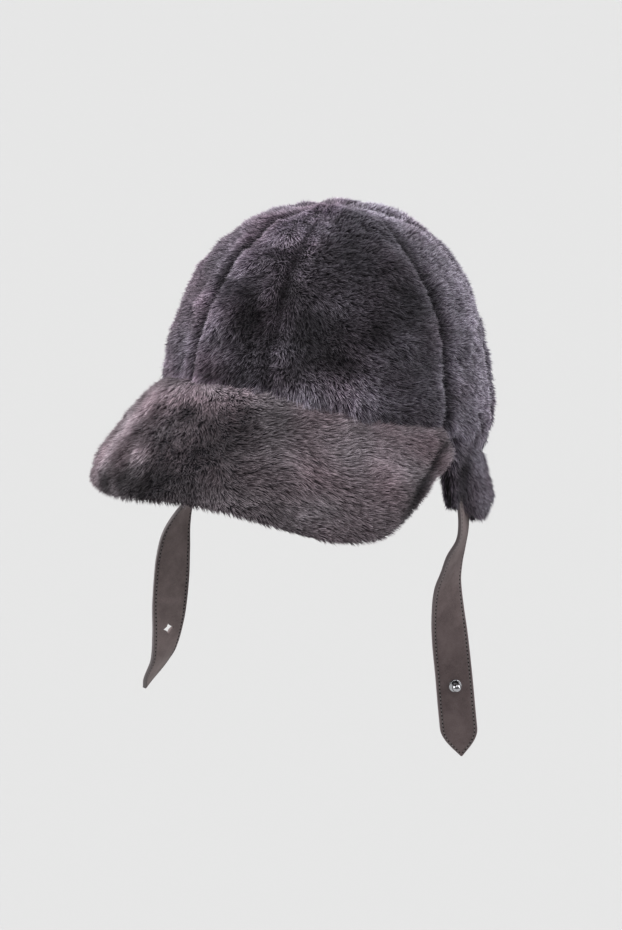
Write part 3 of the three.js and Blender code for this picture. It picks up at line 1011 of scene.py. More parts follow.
        # Over the peak the last of the fur is longer, hangs straight down and hides the joint.
        hung = read(self.hem_roll, bearing, 2) * (1 - smooth(to_hem / self.hung_reach))
        swirl = read(self.combing, bearing, 1) + drift(here, *self.swirl_drift) + change[2]
        rise = read(self.combing, bearing, 2) + drift(here, *self.rise_drift) + change[1]
        # The tone in stops: the patches, a random drift, and painted light on the top.
        stops = change[0] + drift(here, *self.tone_drift) + coming(level, *self.top_painted_light)
        # Painted light pales the fur along the lower edge.
        start, span = self.hung_painted_light
        stops += read(self.hem_roll, bearing, 3) * (1 - smooth((to_hem - start) / span))
        usual, swing, between = self.warm
        warmth = usual - swing * math.sin(math.radians(bearing - between)) + drift(here, self.warmth_drift)
        clipped = self.seam_hair + (1 - self.seam_hair) * smooth(to_seam / self.seam_hair_reach)
        return {
            "swirl": swirl * (1 - self.hung_straight * hung),
            "rise": min(max(rise * (1 - self.hung_flat * hung), self.flattest), STEEPEST),
            "length": self.hair * MM * clipped * (1 + self.hung_long * hung),
            "tone": min(read(self.combing, bearing, 3) * 2**stops, PALEST),
            "warmth": min(max(warmth, 0.0), 1.0),
        }

    def build(self, pile: Pile) -> None:
        """Builds the seven pelts in place of the gores.

        Args:
            pile: Grows the fur.
        """
        for seed, (name, start, end, density) in enumerate(self.gores, 11):
            pile.dress(self.gore(f"pelt_{name}", start, end), f"gore_{name}", seed, density)


@dataclass
class Leaf:
    """The surface that two leaves of fur share: out under the crown's hem, then down to a free edge."""

    crown: Crown
    # Bearing, side, reach forwards and level of the free edge.
    edge: tuple
    root_depth: float
    below: float
    outwards: float
    drop: float
    swell: float
    across: float
    along: float
    roll: float
    hair: float
    bed: float
    inset: float
    apart: float
    # Bearing, then degrees from straight out to the free edge, how far the fur stands up, and its tone,
    # which paints light and shade across the leaf.
    combing: tuple
    columns: int
    rows: int
    spots: tuple = ()
    way: int = 1
    # A fold across the leaf: its bearing, width and depth.
    fold: tuple[float, float, float] = (0.0, 1.0, 0.0)
    # Bearing, then the share of the way to the free edge where the cleft runs, and how open it is.
    cleft: tuple = ((0, 1, 0), (180, 1, 0))
    cleft_width: float = 0.09
    # What the cleft takes where it is open: mm of depth and stops of painted shade alike, and a share of a
    # hair.
    cleft_sink_and_shade: float = 3.0
    cleft_short: float = 0.4
    # Bearing, then how far the pelt hangs out past the free edge.
    hang: tuple = ((0, 0), (180, 0))
    thinnest: float = 0.7
    flattest: float = 0.22
    # A hair's share of its length at the free edge, and what the rest comes in over.
    edge_hair: float = 0.72
    edge_hair_reach: float = 12.0
    # Uneven growth: strength, width of its patches and what sets its pattern apart, of each noise.
    lumps: tuple = ((1, 14, 31), (1, 30, 32))
    swirl_drift: tuple = ((40, 40, 11), (28, 14, 12))
    rise_drift: tuple = ((0.22, 24, 13), (0.24, 9, 14))
    tone_drift: tuple = ((0.45, 26, 15), (0.5, 8, 16))
    warmth_drift: tuple = (0.9, 24, 17)

    def surface(self, u: float, v: float) -> np.ndarray:
        """Returns a point of the shared surface, u along the hem and v from the hem to the free edge."""
        bearing = self.bearing(u)
        root = self.crown.worn(self.crown.point(bearing, self.crown.hem_level(bearing), self.root_depth))
        root = root - (0, 0, self.below)
        away = self.crown.point(bearing, 0, 0)
        turn = root + self.outwards * away / np.linalg.norm(away) - (0, 0, self.drop)
        side, reach, level = (read(self.edge, bearing, column) for column in (1, 2, 3))
        free = np.array([side, -reach, level])
        place = (1 - v) ** 2 * root + 2 * v * (1 - v) * turn + v * v * free
        middle, width, depth = self.fold
        place[0] -= depth * hill(bearing, middle, width) * v * v
        place[0] *= self.way
        return place

    def bearing(self, u: float) -> float:
        """Returns the bearing at u, on the wearer's left for a flap."""
        first, last = self.edge[0][0], self.edge[-1][0]
        return first + (last - first) * (u if self.way > 0 else 1 - u)

    def pelt(self, name: str, depth: float, face: Face, last_inset: float) -> Pelt:
        """Shapes one leaf and says how its fur grows.

        Args:
            name: The piece's name.
            depth: How deep the fur stands off the shared surface.
            face: Which way it looks.
            last_inset: How far the hide ends short of the leaf's last end, as inset is for its other edges.

        Returns:
            The pelt.
        """
        shape = (self.rows + 1, self.columns + 1)
        outer, inner, comb = (np.empty((*shape, 3)) for _ in range(3))
        growth = {key: np.empty(shape) for key in ("rise", "length", "tone", "warmth")}
        step = 0.004
        first_u, last_u = self.inset / self.across, 1 - last_inset / self.across
        middles = [self.surface(*self.place_of(patch)) for patch in self.spots]
        for j, i in np.ndindex(shape):
            u = first_u + (last_u - first_u) * (0.5 - 0.5 * math.cos(math.pi * i / self.columns))
            bearing = self.bearing(u)
            last_v = 1 + (read(self.hang, bearing, 1) - self.inset) / self.along
            v = last_v * (0.5 - 0.5 * math.cos(math.pi * j / self.rows))
            around = self.surface(min(u + step, 1), v) - self.surface(max(u - step, 0), v)
            down = self.surface(u, v + step) - self.surface(u, max(v - step, 0))
            around, down = around / np.linalg.norm(around), down / np.linalg.norm(down)
            normal = face.value * np.cross(around, down)
            normal /= np.linalg.norm(normal)
            to_end = min(u - first_u, last_u - u) * self.across
            to_free = (last_v - v) * self.along
            swell = rounded(to_end, self.roll) * rounded(to_free, self.roll)
            swell *= smooth(v * self.along / self.swell)
            here = self.surface(u, v)
            change, parted = np.zeros(3), 0.0
            if face is Face.OUT:
                change = patched(self.spots, middles, here)
                # A cleft with painted shade in it runs in from the free edge, where the fur of the two
                # leaves parts.
                runs_at, opened = (read(self.cleft, bearing, column) for column in (1, 2))
                parted = opened * hill(v, runs_at, self.cleft_width)
            lumps = drift(here, *self.lumps) + change[0] - self.cleft_sink_and_shade * parted
            thinnest = self.apart + self.thinnest
            lift = thinnest + max(depth - self.bed - thinnest + lumps, 0.0) * swell
            outer[j, i] = here + normal * lift
            inner[j, i] = here + normal * self.apart
            swirl = read(self.combing, bearing, 1) * self.way + drift(here, *self.swirl_drift) + change[2]
            turn = math.radians(swirl)
            comb[j, i] = math.sin(turn) * around + math.cos(turn) * down
            rise = read(self.combing, bearing, 2) + drift(here, *self.rise_drift) + change[1]
            growth["rise"][j, i] = min(max(rise, self.flattest), STEEPEST)
            clipped = self.edge_hair + (1 - self.edge_hair) * smooth(to_free / self.edge_hair_reach)
            growth["length"][j, i] = self.hair * MM * clipped * (1 - self.cleft_short * parted)
            stops = change[0] + drift(here, *self.tone_drift) - self.cleft_sink_and_shade * parted
            growth["tone"][j, i] = min(read(self.combing, bearing, 3) * 2**stops, PALEST)
            growth["warmth"][j, i] = min(max(0.5 + drift(here, self.warmth_drift), 0.0), 1.0)
        return Pelt(name, outer - SEAT, inner - SEAT, comb, growth)

    def place_of(self, patch: Patch) -> tuple[float, float]:
        """Returns u and v of a patch, whose level is its share of the way to the free edge."""
        first, last = self.edge[0][0], self.edge[-1][0]
        return (patch.bearing - first) / (last - first), patch.level


@dataclass
class Peak:
    """The deep drooping peak: one leaf of fur on top and one beneath."""

    crown: Crown
    # Each leaf: its name, how deep its fur is, which way it looks, how far its hide ends short of the leaf's
    # last end, its seed and its hairs per square centimetre.
    leaves: tuple = (("upper", 9.0, Face.OUT, 9.0, 31, 160), ("under", 7.5, Face.IN, 2.0, 32, 78))
    leaf: Leaf = field(init=False)

    def __post_init__(self) -> None:
        """Sets out the surface that the two leaves share."""
        self.leaf = Leaf(
            crown=self.crown,
            edge=(
                (-86, -97, 5, -13), (-81, -101, 18, -21), (-74, -106, 38, -28), (-65, -109, 63, -35),
                (-56, -109, 88, -41), (-47, -103, 110, -46), (-38, -88, 126, -46), (-27, -63, 142, -41),
                (-14, -33, 154, -34), (0, 0, 158, -30), (14, 33, 153, -31), (27, 62, 136, -37),
                (38, 85, 114, -45), (47, 98, 93, -47), (56, 102, 74, -41), (65, 101, 55, -35),
                (74, 99, 35, -27), (81, 97, 18, -20), (86, 96, 5, -14),
            ),
            root_depth=10.0,
            below=3.0,
            outwards=15.0,
            drop=3.0,
            swell=10.0,
            across=420.0,
            along=84.0,
            roll=11.0,
            hair=6.6,
            bed=3.2,
            inset=3.2,
            apart=0.15,
            combing=(
                (-86, -25, 0.5, 1.1), (-60, -20, 0.5, 1.15), (-40, -10, 0.55, 1.1), (-22, 20, 0.6, 0.95),
                (-3, 50, 0.6, 0.85), (18, 68, 0.5, 1.0), (40, 78, 0.42, 1.35), (65, 80, 0.4, 1.5),
                (86, 82, 0.4, 1.45),
            ),
            columns=120,
            rows=28,
            # Patches of painted light and shade: paler along the root, which faces up, and darker along the
            # free edge; some also change how the fur stands and swirls.
            spots=patches(
                (-36, 0.8, 12, 1.6), (-31.5, 0.6, 12, 1.4), (-26, 0.38, 12, 1.7, -0.2),
                (-14, 0.22, 12, 2.2, -0.3), (-4, 0.16, 11, 2.2, -0.3), (8, 0.12, 9, 1.2),
                (-22, 0.46, 6, -0.8, 0.4), (-16, 0.5, 6, 0.9), (-24, 0.66, 6, -0.8, 0.2),
                (-9, 0.41, 6, -1.2, 0.4), (-6, 0.56, 7, 0.7), (10, 0.58, 12, -1.0, 0.3),
                (3, 0.72, 12, -1.0, 0.3), (12, 0.42, 8, -0.5, 0.3), (24, 0.38, 8, -0.5),
                (-30, 0.93, 10, -2.2, 0.2), (-21, 0.89, 8, -2.2, 0.3), (-13, 0.95, 10, -2.4, 0.3),
                (-8, 0.89, 10, -2.1, 0.2), (2, 0.95, 12, -0.9, 0.2), (24, 0.96, 12, -0.6),
                (-18, 0.76, 6, 2.2, 0, -60), (9, 0.83, 7, 0.1, 0.1, -50), (13, 0.84, 7, -0.6),
                (29, 0.18, 10, 0.5), (41, 0.16, 13, 0.6), (32, 0.66, 20, 0.4), (52, 0.66, 16, 0.7),
            ),
            cleft=(
                (0, 1, 0), (52, 1, 0), (58, 0.98, 0.7), (63, 0.94, 1), (71, 0.78, 1), (76, 0.61, 1),
                (86, 0.36, 1),
            ),
            hang=(
                (-86, 0), (-45, 0), (-30, 0.5), (-15, 1.5), (0, 1), (15, 1.3), (24, 3), (32, 4.4),
                (45, 4.4), (55, 5.8), (66, 6.4), (74, 4), (80, 1.5), (86, 0),
            ),
        )  # fmt: skip

    def build(self, pile: Pile) -> None:
        """Builds the two leaves in place of their nodes.

        Args:
            pile: Grows the fur.
        """
        for name, depth, face, last_inset, seed, density in self.leaves:
            node = f"peak_{name}"
            pelt = self.leaf.pelt(node + "_pelt", depth, face, last_inset)
            pile.dress(pelt, node, seed, density)


@dataclass
class EarFlap:
    """A short ear flap: fur on both faces, folded inwards over the strap's end."""

    crown: Crown
    side: Side
    # Each leaf: its name, how deep its fur is, which way it looks, and its seed between the two sides' own.
    leaves: tuple = (("outer", 9.0, Face.OUT, 41), ("lining", 7.0, Face.IN, 42))
    # Hairs per square centimetre, more of them where the photograph looks.
    density: float = 115.0
    seen_density: float = 155.0
    leaf: Leaf = field(init=False)

    def __post_init__(self) -> None:
        """Sets out the surface that the two leaves share."""
        # The left flap is pressed into a valley beside its front edge, with painted shade in the valley and
        # painted light above it.
        valley_light_and_shade = patches((97, 0.1, 9, 0.9), (96, 0.42, 7, -1.6), (95, 0.62, 7, -1.8), (95, 0.84, 7, -1.6))
        self.leaf = Leaf(
            crown=self.crown,
            edge=(
                (89, 96, 5, -58), (97, 97, -8, -63), (106, 95, -24, -72), (114, 91.5, -39, -80),
                (120, 87.5, -55, -76), (127, 83, -71, -69),
            ),
            root_depth=9.0,
            below=0.5,
            outwards=0.0,
            drop=10.0,
            swell=8.0,
            across=78.0,
            along=45.0,
            roll=14.0,
            hair=6.4,
            bed=3.1,
            inset=2.8,
            apart=1.4,
            combing=(
                (89, -5, 0.5, 1.9), (93, 0, 0.55, 1.2), (98, 5, 0.6, 1.0), (105, 12, 0.5, 1.3),
                (112, 12, 0.5, 1.35), (127, 10, 0.5, 1.1),
            ),
            columns=40,
            rows=24,
            spots=valley_light_and_shade if self.side is Side.LEFT else (),
            way=self.side.value,
            fold=(98.0, 5.0, 5.0),
        )  # fmt: skip

    def build(self, pile: Pile) -> None:
        """Builds the two leaves in place of their nodes.

        Args:
            pile: Grows the fur.
        """
        for name, depth, face, seed in self.leaves:
            node = f"ear_flap_{self.side.name.lower()}_{name}"
            seen = self.side is Side.LEFT and face is Face.OUT
            pelt = self.leaf.pelt(node + "_pelt", depth, face, self.leaf.inset)
            density = self.seen_density if seen else self.density
            pile.dress(pelt, node, seed + 5 * self.side.value, density)


@dataclass
class ChinStrap:
    """A chin strap: two layers of suede stitched along both edges, which twists and ends in a point."""

    side: Side
    # Level, side, reach forwards and the bearing that the outer face looks to.
    route: tuple
    width: float = 24.5
    thickness: float = 2.4
    point: float = 19.0
    tip: float = 1.2
    rows: int = 150
    # More than 1 crowds the rows towards the point, where the sides curve in.
    crowding: float = 1.35
    seam_in: float = 2.0
    seam_half: float = 0.5
    seam_depth: float = 0.24
    seam_clear: float = 3.2
    pitch: float = 2.6
    stitch: float = 1.5
    thread: float = 0.62
    thread_sunk: float = 0.06
    bare_tip: float = 3.5
    bare_top: float = 4.0
    hole: float = 0.0
    hole_reach: float = 4.6
    hole_waist: float = 2.2
    hole_points: int = 4
    # How far the punch reaches on each side, against the strap's thickness.
    punch: float = 4.0
    sharp_angle: float = 40.0
    seed: int = 5

    @property
    def name(self) -> str:
        """The name of the strap's node."""
        return f"strap_{self.side.name.lower()}"

    def middle(self, level: float) -> np.ndarray:
        """Returns the middle of the strip at a level."""
        return np.array([read(self.route, level, 1), -read(self.route, level, 2), level])

    def axes(self, level: float) -> tuple[np.ndarray, np.ndarray, np.ndarray]:
        """Returns the ways across the strip, up it, and out of its outer face."""
        facing = math.radians(read(self.route, level, 3))
        across = np.array([math.cos(facing), math.sin(facing), 0.0])
        rising = self.middle(level + 1) - self.middle(level - 1)
        normal = np.cross(across, rising)
        normal /= np.linalg.norm(normal)
        return across, np.cross(normal, across), normal

    def half_width(self, level: float) -> float:
        """Returns half the strip's width, which narrows to the point on two curved sides."""
        left = min(max((level - self.route[-1][0]) / self.point, 0.0), 1.0)
        return (self.tip + (self.width - self.tip) * math.sin(left * math.pi / 2)) / 2

    def section(self) -> list[tuple[float, float, float]]:
        """Lists the outer face's outline near an edge: how far in, how far out, and how much of the edge
        colour it takes, which is dye and painted light on the cut edge and painted light and shade in the
        stitched groove.
        """
        face, groove = self.thickness / 2, self.thickness / 2 - self.seam_depth
        return [
            (0.12, 0.0, 1.0),
            (0.0, 0.22 * face, 1.0),
            (0.06, 0.62 * face, 1.0),
            (0.3, 0.9 * face, 0.8),
            (0.8, face, 0.35),
            (self.seam_in - self.seam_half, face, 0.2),
            (self.seam_in - 0.4 * self.seam_half, groove, 0.4),
            (self.seam_in + 0.4 * self.seam_half, groove, 0.4),
            (self.seam_in + self.seam_half, face, 0.1),
            (self.seam_in + 2.6 * self.seam_half, face, 0.0),
        ]

    def squeeze(self, level: float) -> float:
        """Returns how far the edges' outline draws together where the strip narrows, 1 for not at all."""
        return min(1.0, self.half_width(level) / (self.seam_in + self.seam_clear * self.seam_half))

    def ring(self, level: float) -> list[tuple[np.ndarray, float]]:
        """Returns the strip's outline at a level, once round, and how much of the edge colour each point
        takes.
        """
        across, _, normal = self.axes(level)
        half, middle, face = self.half_width(level), self.middle(level), self.thickness / 2
        left = [(-half + inward * self.squeeze(level), away, edge_tint) for inward, away, edge_tint in self.section()]
        left += [(0.5 * left[-1][0], face, 0.0), (0.0, face, 0.0)]
        top = left + [(-x, away, edge_tint) for x, away, edge_tint in reversed(left[:-1])]
        bottom = [(x, -away, edge_tint) for x, away, edge_tint in reversed(top[1:-1])]
        return [(middle + across * x + normal * away, edge_tint) for x, away, edge_tint in top + bottom]

    def strip(self) -> Object:
        """Makes the strip, closed at both ends.

        Returns:
            The object.
        """
        first, last = self.route[0][0], self.route[-1][0]
        shares = [k / self.rows for k in range(self.rows + 1)]
        rings = [self.ring(first + (last - first) * (1 - (1 - s) ** self.crowding)) for s in shares]
        size = len(rings[0])
        faces = [tuple(range(size)), tuple(reversed(range(self.rows * size, (self.rows + 1) * size)))]
        for k in range(self.rows):
            for i in range(size):
                a, b = k * size + i, k * size + (i + 1) % size
                faces.append((a, a + size, b + size, b))
        mesh = closed_mesh(f"{self.name}_suede", [p - SEAT for ring in rings for p, _ in ring], faces)
        store(mesh, "edge", np.array([edge_tint for ring in rings for _, edge_tint in ring]))
        return new_piece(mesh.name, mesh)

    def pierce(self, piece: Object) -> None:
        """Cuts the star-shaped hole through the strip: two crossed slits, pulled open.

        Args:
            piece: The strip.
        """
        level = self.route[-1][0] + self.hole
        across, rising, normal = self.axes(level)
        star = []
        for k in range(2 * self.hole_points):
            angle = math.pi * k / self.hole_points
            radius = self.hole_waist if k % 2 else self.hole_reach
            off = radius * (math.cos(angle) * across + math.sin(angle) * rising)
            star.append(self.middle(level) - SEAT + off)
        deep = self.punch * self.thickness * normal
        count = len(star)
        points = [list((p + deep) * MM) for p in star] + [list((p - deep) * MM) for p in star]
        faces = [tuple(range(count)), tuple(reversed(range(count, 2 * count)))]
        faces += [(k, count + k, count + (k + 1) % count, (k + 1) % count) for k in range(count)]
        mesh = bpy.data.meshes.new("star_punch")
        mesh.from_pydata(points, [], faces)
        punch = new_piece("star_punch", mesh)
        cut = piece.modifiers.new("hole", "BOOLEAN")
        cut.operation, cut.solver, cut.object = "DIFFERENCE", "EXACT", punch
        baked(piece)
        bpy.data.objects.remove(punch)
        bpy.data.meshes.remove(mesh)

    def seams(self) -> Object:
        """Makes the lines that the stitches follow, on both faces, with the way out of the suede.

        Returns:
            The object, of edges alone.
        """
        top, foot = self.route[0][0] - self.bare_top, self.route[-1][0] + self.bare_tip
        lift = self.thickness / 2 - self.thread_sunk
        points, edges, outs = [], [], []
        for face, edge in ((1, 1), (1, -1), (-1, 1), (-1, -1)):
            for k in range(self.rows + 1):
                level = top + (foot - top) * k / self.rows
                across, _, normal = self.axes(level)
                aside = self.half_width(level) - self.seam_in * self.squeeze(level)
                place = self.middle(level) + across * edge * aside + normal * face * lift
                if k:
                    edges.append((len(points) - 1, len(points)))
                points.append(list((place - SEAT) * MM))
                outs.append(normal * face)
        mesh = bpy.data.meshes.new(f"{self.name}_stitches")
        mesh.from_pydata(points, edges, [])
        store(mesh, "way_out", np.array(outs))
        return new_piece(mesh.name, mesh)

    def build(self, suede: Material, yarn: Material, pricked: Material, row: Tree) -> None:
        """Builds the strap and its stitches in place of its node.

        Args:
            suede: The finish of the strip.
            yarn: The finish of the thread.
            pricked: The finish of the needle holes, dark discs of painted shade.
            row: The tree that lays a row of stitches.
        """
        strip = self.strip()
        if self.hole:
            self.pierce(strip)
        strip.data.materials.append(suede)
        strip.data.polygons.foreach_set("use_smooth", [True] * len(strip.data.polygons))
        strip.data.set_sharp_from_angle(angle=math.radians(self.sharp_angle))
        stitches = self.seams()
        sizes = {"Pitch": self.pitch * MM, "Stitch length": self.stitch * MM, "Thread": self.thread * MM}
        run_tree(stitches, row, {**sizes, "Seed": self.seed, "Yarn": yarn, "Hole": pricked})
        for piece in (strip, stitches):
            stand_for(piece, self.name)


def stitch_row() -> Tree:
    """Builds the tree that lays stitches end to end along lines.

    Returns:
        The tree, with named inputs for its sizes.
    """
    sizes = dict.fromkeys(("Pitch", "Stitch length", "Thread"), "Float")
    inputs = {"Lines": "Geometry", **sizes, "Seed": "Int", "Yarn": "Material", "Hole": "Material"}
    tree, given = new_tree("stitch_row", inputs, "Stitches")
    least_slant, most_slant = 0.02, 0.16
    hole_wide, hole_deep, hole_sunk = 2.1, 0.4 * MM, 0.06 * MM
    thread_segments, hole_segments = 6, 5

    def scaled(name: str, factor: float) -> Socket:
        """Returns a share of the input of that name."""
        return out(add_node(tree, "ShaderNodeMath", {0: given[name], 1: factor}, operation="MULTIPLY"))

    def vector(links: Links) -> Socket:
        """Returns a vector of its parts."""
        return out(add_node(tree, "ShaderNodeCombineXYZ", links))

    curve = out(add_node(tree, "GeometryNodeMeshToCurve", {0: given["Lines"]}))
    links = {"Curve": curve, "Length": given["Pitch"]}
    spaced = out(add_node(tree, "GeometryNodeResampleCurve", links, mode="LENGTH"))
    points = add_node(tree, "GeometryNodeCurveToPoints", {"Curve": spaced}, mode="EVALUATED")
    name = {"Name": "way_out"}
    way_out = out(add_node(tree, "GeometryNodeInputNamedAttribute", name, data_type="FLOAT_VECTOR"))
    tangent = {"Vector": out(points, "Tangent")}
    links = {"Rotation": out(add_node(tree, "FunctionNodeAlignRotationToVector", tangent, axis="X"))}
    links["Vector"] = way_out
    upright = out(add_node(tree, "FunctionNodeAlignRotationToVector", links, axis="Z", pivot_axis="X"))
    # A stitch pulls a little aslant, as lock stitches do.
    links = {"Min": least_slant, "Max": most_slant, "Seed": given["Seed"]}
    slant = out(add_node(tree, "FunctionNodeRandomValue", links, data_type="FLOAT"))
    tilt = out(add_node(tree, "FunctionNodeAxisAngleToRotation", {"Axis": (0.0, 0.0, 1.0), "Angle": slant}))
    links = {"Rotation": upright, "Rotate By": tilt}
    laid = out(add_node(tree, "FunctionNodeRotateRotation", links, rotation_space="LOCAL"))
    size = vector({"X": given["Stitch length"], "Y": given["Thread"], "Z": given["Thread"]})
    # Between two stitches lies a needle hole, wider than the thread and flat in the groove: a dark disc of
    # painted shade.
    beside = vector({"X": scaled("Pitch", 0.5), "Z": -hole_sunk})
    wide = scaled("Thread", hole_wide)
    flat = vector({"X": wide, "Y": wide, "Z": hole_deep})
    joined = add_node(tree, "GeometryNodeJoinGeometry")
    for segments, place, scale, finish in (
        (thread_segments, (0.0, 0.0, 0.0), size, given["Yarn"]),
        (hole_segments, beside, flat, given["Hole"]),
    ):
        form = {"Segments": segments, "Rings": 3, "Radius": 0.5}
        bead = out(add_node(tree, "GeometryNodeMeshUVSphere", form), "Mesh")
        links = {"Geometry": bead, "Translation": place, "Scale": scale}
        links = {"Geometry": out(add_node(tree, "GeometryNodeTransform", links)), "Material": finish}
        wire(joined, {0: out(add_node(tree, "GeometryNodeSetMaterial", links))})
    links = {"Points": out(points, "Points"), "Instance": out(joined), "Rotation": laid}
    stitches = out(add_node(tree, "GeometryNodeInstanceOnPoints", links))
    plain = out(add_node(tree, "GeometryNodeRealizeInstances", {"Geometry": stitches}))
    shaded = out(add_node(tree, "GeometryNodeSetShadeSmooth", {"Geometry": plain}))
    add_node(tree, "NodeGroupOutput", {0: shaded})
    return tree


@dataclass
class BallStud:
    """The ball stud: a flange on each face of the strap, and a ball on its neck."""

    strap: ChinStrap
    up: float = 48.0
    flange: float = 4.2
    flange_thick: float = 0.9
    lip: float = 0.45
    neck: float = 1.6
    neck_length: float = 1.4
    # Where the neck flares into the flange: how much wider it is, and how high over the flange.
    fillet: tuple = ((0.5, 0.1), (0.1, 0.4))
    ball: float = 2.9
    clearance: float = 0.12
    # How much of the ball's radius stands between its middle and the neck.
    sunk: float = 0.85
    sides: int = 48
    lip_steps: int = 6
    ball_steps: int = 16
    sharp_angle: float = 35.0

    def profile(self) -> list[tuple[float, float]]:
        """Lists the turned outline, from the back's middle to the top of the ball: radius and height."""
        half = self.strap.thickness / 2 + self.clearance
        face = half + self.flange_thick
        centre = face + self.neck_length + self.ball * self.sunk
        turns = [math.pi * k / (2 * self.lip_steps) for k in range(self.lip_steps + 1)]
        inner = self.flange - self.lip
        lip = [(inner + self.lip * math.sin(a), self.lip * (1 - math.cos(a))) for a in turns]
        back = [(radius, -face + rise) for radius, rise in lip]
        front = [(radius, face - rise) for radius, rise in reversed(lip)]
        body = [(self.flange, -half), (self.neck, -half), (self.neck, half), (self.flange, half)]
        start = math.asin(self.neck / self.ball) - math.pi / 2
        angles = [start + (math.pi / 2 - start) * k / self.ball_steps for k in range(self.ball_steps)]
        ball = [(self.ball * math.cos(a), centre + self.ball * math.sin(a)) for a in angles]
        waist = [(self.neck + wider, face + higher) for wider, higher in self.fillet]
        return [(0.0, -face), *back, *body, *front, *waist, *ball, (0.0, centre + self.ball)]

    def build(self, metal: Material) -> None:
        """Builds the stud in place of its node.

        Args:
            metal: The finish of the stud.
        """
        level = self.strap.route[-1][0] + self.up
        across, rising, normal = self.strap.axes(level)
        middle = self.strap.middle(level) - SEAT
        points, faces, rings = [], [], []
        for radius, height in self.profile():
            count = self.sides if radius > 0 else 1
            rings.append(list(range(len(points), len(points) + count)))
            for k in range(count):
                a = 2 * math.pi * k / self.sides
                off = radius * (math.cos(a) * across + math.sin(a) * rising)
                points.append(middle + off + height * normal)
        for low, high in zip(rings, rings[1:]):
            for k in range(self.sides):
                n = (k + 1) % self.sides
                if len(low) == 1:
                    faces.append((low[0], high[n], high[k]))
                elif len(high) == 1:
                    faces.append((low[k], low[n], high[0]))
                else:
                    faces.append((low[k], low[n], high[n], high[k]))
        mesh = closed_mesh("ball_stud_plated", points, faces)
        mesh.materials.append(metal)
        mesh.set_sharp_from_angle(angle=math.radians(self.sharp_angle))
        stand_for(new_piece(mesh.name, mesh), "ball_stud")


@dataclass
class Studio:
    """The camera at the photograph's angle, a pale floor far below, and soft even light."""

    azimuth: float = 34.5
    elevation: float = 18.0
    distance: float = 1.8
    aim: tuple[float, float, float] = (-0.000342, -0.026310, -0.153338)
    lens: float = 109.18
    sensor: float = 36.0
    sight: float = 100.0
    floor_level: float = -0.95
    floor_size: float = 60.0
    ground: str = "#aeaeae"
    sky: float = 0.35
    # Metal mirrors a dark room up to head height and a bright ceiling: the heights where one ends and the
    # other starts.
    dark_room: float = 0.35
    bright_ceiling: float = 0.6
    # Each lamp: its azimuth and elevation, its power, and how wide it is in degrees.
    lamps: tuple = (
        ("lamp_left", -60, 32, 2.9, 55),
        ("lamp_right", 128, 30, 2.0, 50),
        ("lamp_top", -30, 70, 2.4, 60),
    )

    def away(self, azimuth: float, elevation: float) -> Vector:
        """Returns the direction towards a viewer or a lamp at an azimuth and an elevation."""
        a, e = math.radians(azimuth), math.radians(elevation)
        return Vector((math.sin(a) * math.cos(e), -math.cos(a) * math.cos(e), math.sin(e)))

    def camera(self) -> None:
        """Sets up the camera."""
        data = bpy.data.cameras.new("camera")
        data.lens = self.lens
        data.sensor_width = self.sensor
        data.clip_end = self.sight
        placed = bpy.data.objects.new("camera", data)
        back = self.away(self.azimuth, self.elevation)
        placed.location = Vector(self.aim) + back * self.distance
        placed.rotation_euler = back.to_track_quat("Z", "Y").to_euler()
        bpy.context.scene.collection.objects.link(placed)
        bpy.context.scene.camera = placed

    def floor(self) -> None:
        """Lays the floor."""
        half = self.floor_size / 2
        mesh = bpy.data.meshes.new("floor")
        corners = [(-half, -half), (half, -half), (half, half), (-half, half)]
        mesh.from_pydata([(x, y, self.floor_level) for x, y in corners], [], [(0, 1, 2, 3)])
        mesh.materials.append(PaperFinish("seamless_paper", self.ground).material())
        floor = new_piece("floor", mesh)
        # The floor is so wide and pale that its bounce would wash out the hollows.
        floor.visible_diffuse = False

    def lights(self) -> None:
        """Sets up the lamps and the even light from all round."""
        for name, azimuth, elevation, power, spread in self.lamps:
            data = bpy.data.lights.new(name, "SUN")
            data.energy = power
            data.angle = math.radians(spread)
            lamp = bpy.data.objects.new(name, data)
            lamp.rotation_euler = self.away(azimuth, elevation).to_track_quat("Z", "Y").to_euler()
            bpy.context.scene.collection.objects.link(lamp)
        world = bpy.data.worlds.new("studio")
        world.use_nodes = True
        tree = world.node_tree
        # Only metal sees the room; all else sees an even white.
        away = out(add_node(tree, "ShaderNodeTexCoord"), "Generated")
        up = out(add_node(tree, "ShaderNodeSeparateXYZ", {0: away}), "Z")
        room = add_ramp(tree, up, ((self.dark_room, "#000000"), (self.bright_ceiling, "#ffffff")))
        seen = out(add_node(tree, "ShaderNodeLightPath"), "Is Glossy Ray")
        links = {"Factor": seen, "A": linear("#ffffff"), "B": room}
        mixed = out(add_node(tree, "ShaderNodeMix", links, data_type="RGBA"))
        wire(tree.nodes["Background"], {"Color": mixed, "Strength": self.sky})
        bpy.context.scene.world = world

    def build(self) -> None:
        """Sets up the whole studio, shown as plain sRGB with no film look."""
        self.camera()
        self.floor()
        self.lights()
        bpy.context.scene.view_settings.view_transform = "Standard"


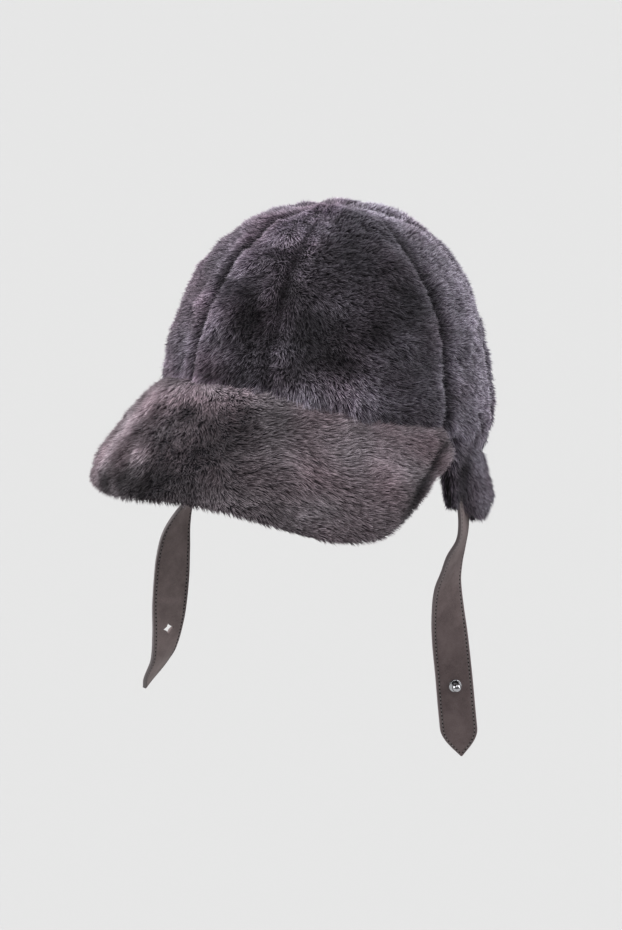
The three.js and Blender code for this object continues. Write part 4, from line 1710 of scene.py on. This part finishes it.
def main() -> None:
    """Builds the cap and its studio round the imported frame."""
    logging.basicConfig(level=logging.INFO, format="%(name)s: %(message)s")
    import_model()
    Studio().build()
    violet = FurFinish("plucked_rabbit_fur_violet_grey", "#15101a", "#4f4853", "#aca8b3", "#dfd0d4")
    mauve = FurFinish("plucked_rabbit_fur_mauve_grey", "#2c262a", "#645c61", "#b0a8ae", "#e2d5d8")
    fur, peak_fur = violet.material(), mauve.material()
    # The hide's outer face stands within the pile: dark like the dyed roots, and painted shade of the deep
    # fur.
    hide = SuedeFinish("dyed_suede_hide", "#211e23", "#332f35").material()
    crown = Crown()
    crown.build(Pile(fur, hide))
    # The peak is clipped more evenly, so its fur is smoother than the crown's.
    Peak(crown).build(Pile(peak_fur, hide, width=0.56, tufted=0.2, speckle=0.16, frizz=0.16))
    flap_pile = Pile(fur, hide, tufted=0.24, speckle=0.34)
    for side in Side:
        EarFlap(crown, side).build(flap_pile)
    left = ChinStrap(
        Side.LEFT,
        route=(
            (-50, 93.5, -18, 100), (-68, 93.4, -18, 109), (-80, 92.4, -18, 107), (-92, 88, -18, 96),
            (-104, 84.8, -18, 91), (-116, 82.2, -18, 81), (-133, 82.5, -18, 67), (-155, 84.9, -18, 50),
            (-177, 87.8, -18, 46), (-200, 90.5, -18, 40), (-231.7, 94.6, -18, 38),
        ),
    )  # fmt: skip
    right = ChinStrap(
        Side.RIGHT,
        route=(
            (-56, -93, -18, -88), (-68, -94.5, -16, -84), (-80, -101.5, -5, -80), (-92.5, -109, 6, -80),
            (-104.5, -110, 14.5, -97), (-121, -110, 19, -116), (-139, -110, 21.5, -127),
            (-156, -110, 24, -123), (-174, -110.5, 26, -107), (-192, -113, 28, -92),
            (-202.5, -118.5, 28, -85), (-214.5, -126.5, 27, -82), (-221.5, -130.5, 27, -81),
        ),
        hole=47.6,
    )  # fmt: skip
    # The near strap's edge colour is paler than its face: painted light on its edges and stitched groove,
    # which lie in shade.
    suede = SuedeFinish("brushed_nubuck_taupe_grey", "#594d4d", "#7c6e6e", cloud=11.0, edge="#867c7d")
    # The far strap hangs with its lining outwards, in the same leather painted paler: painted light on a
    # strap that hangs in shade.
    lining = SuedeFinish("brushed_nubuck_painted_light", "#6c605f", "#918382", cloud=11.0, edge="#6c6667")
    yarn = ThreadFinish("waxed_polyester_thread", "#a19b99", "#6c6668").material()
    # The needle holes are dark with painted shade.
    pricked = SuedeFinish("dark_needle_hole_suede", "#120f11", "#1c181a").material()
    stitches = stitch_row()
    left.build(suede.material(), yarn, pricked, stitches)
    right.build(lining.material(), yarn, pricked, stitches)
    BallStud(left).build(PlatedFinish("bright_nickel_plate", "#b4b4b8").material())


if __name__ == "__main__":
    main()
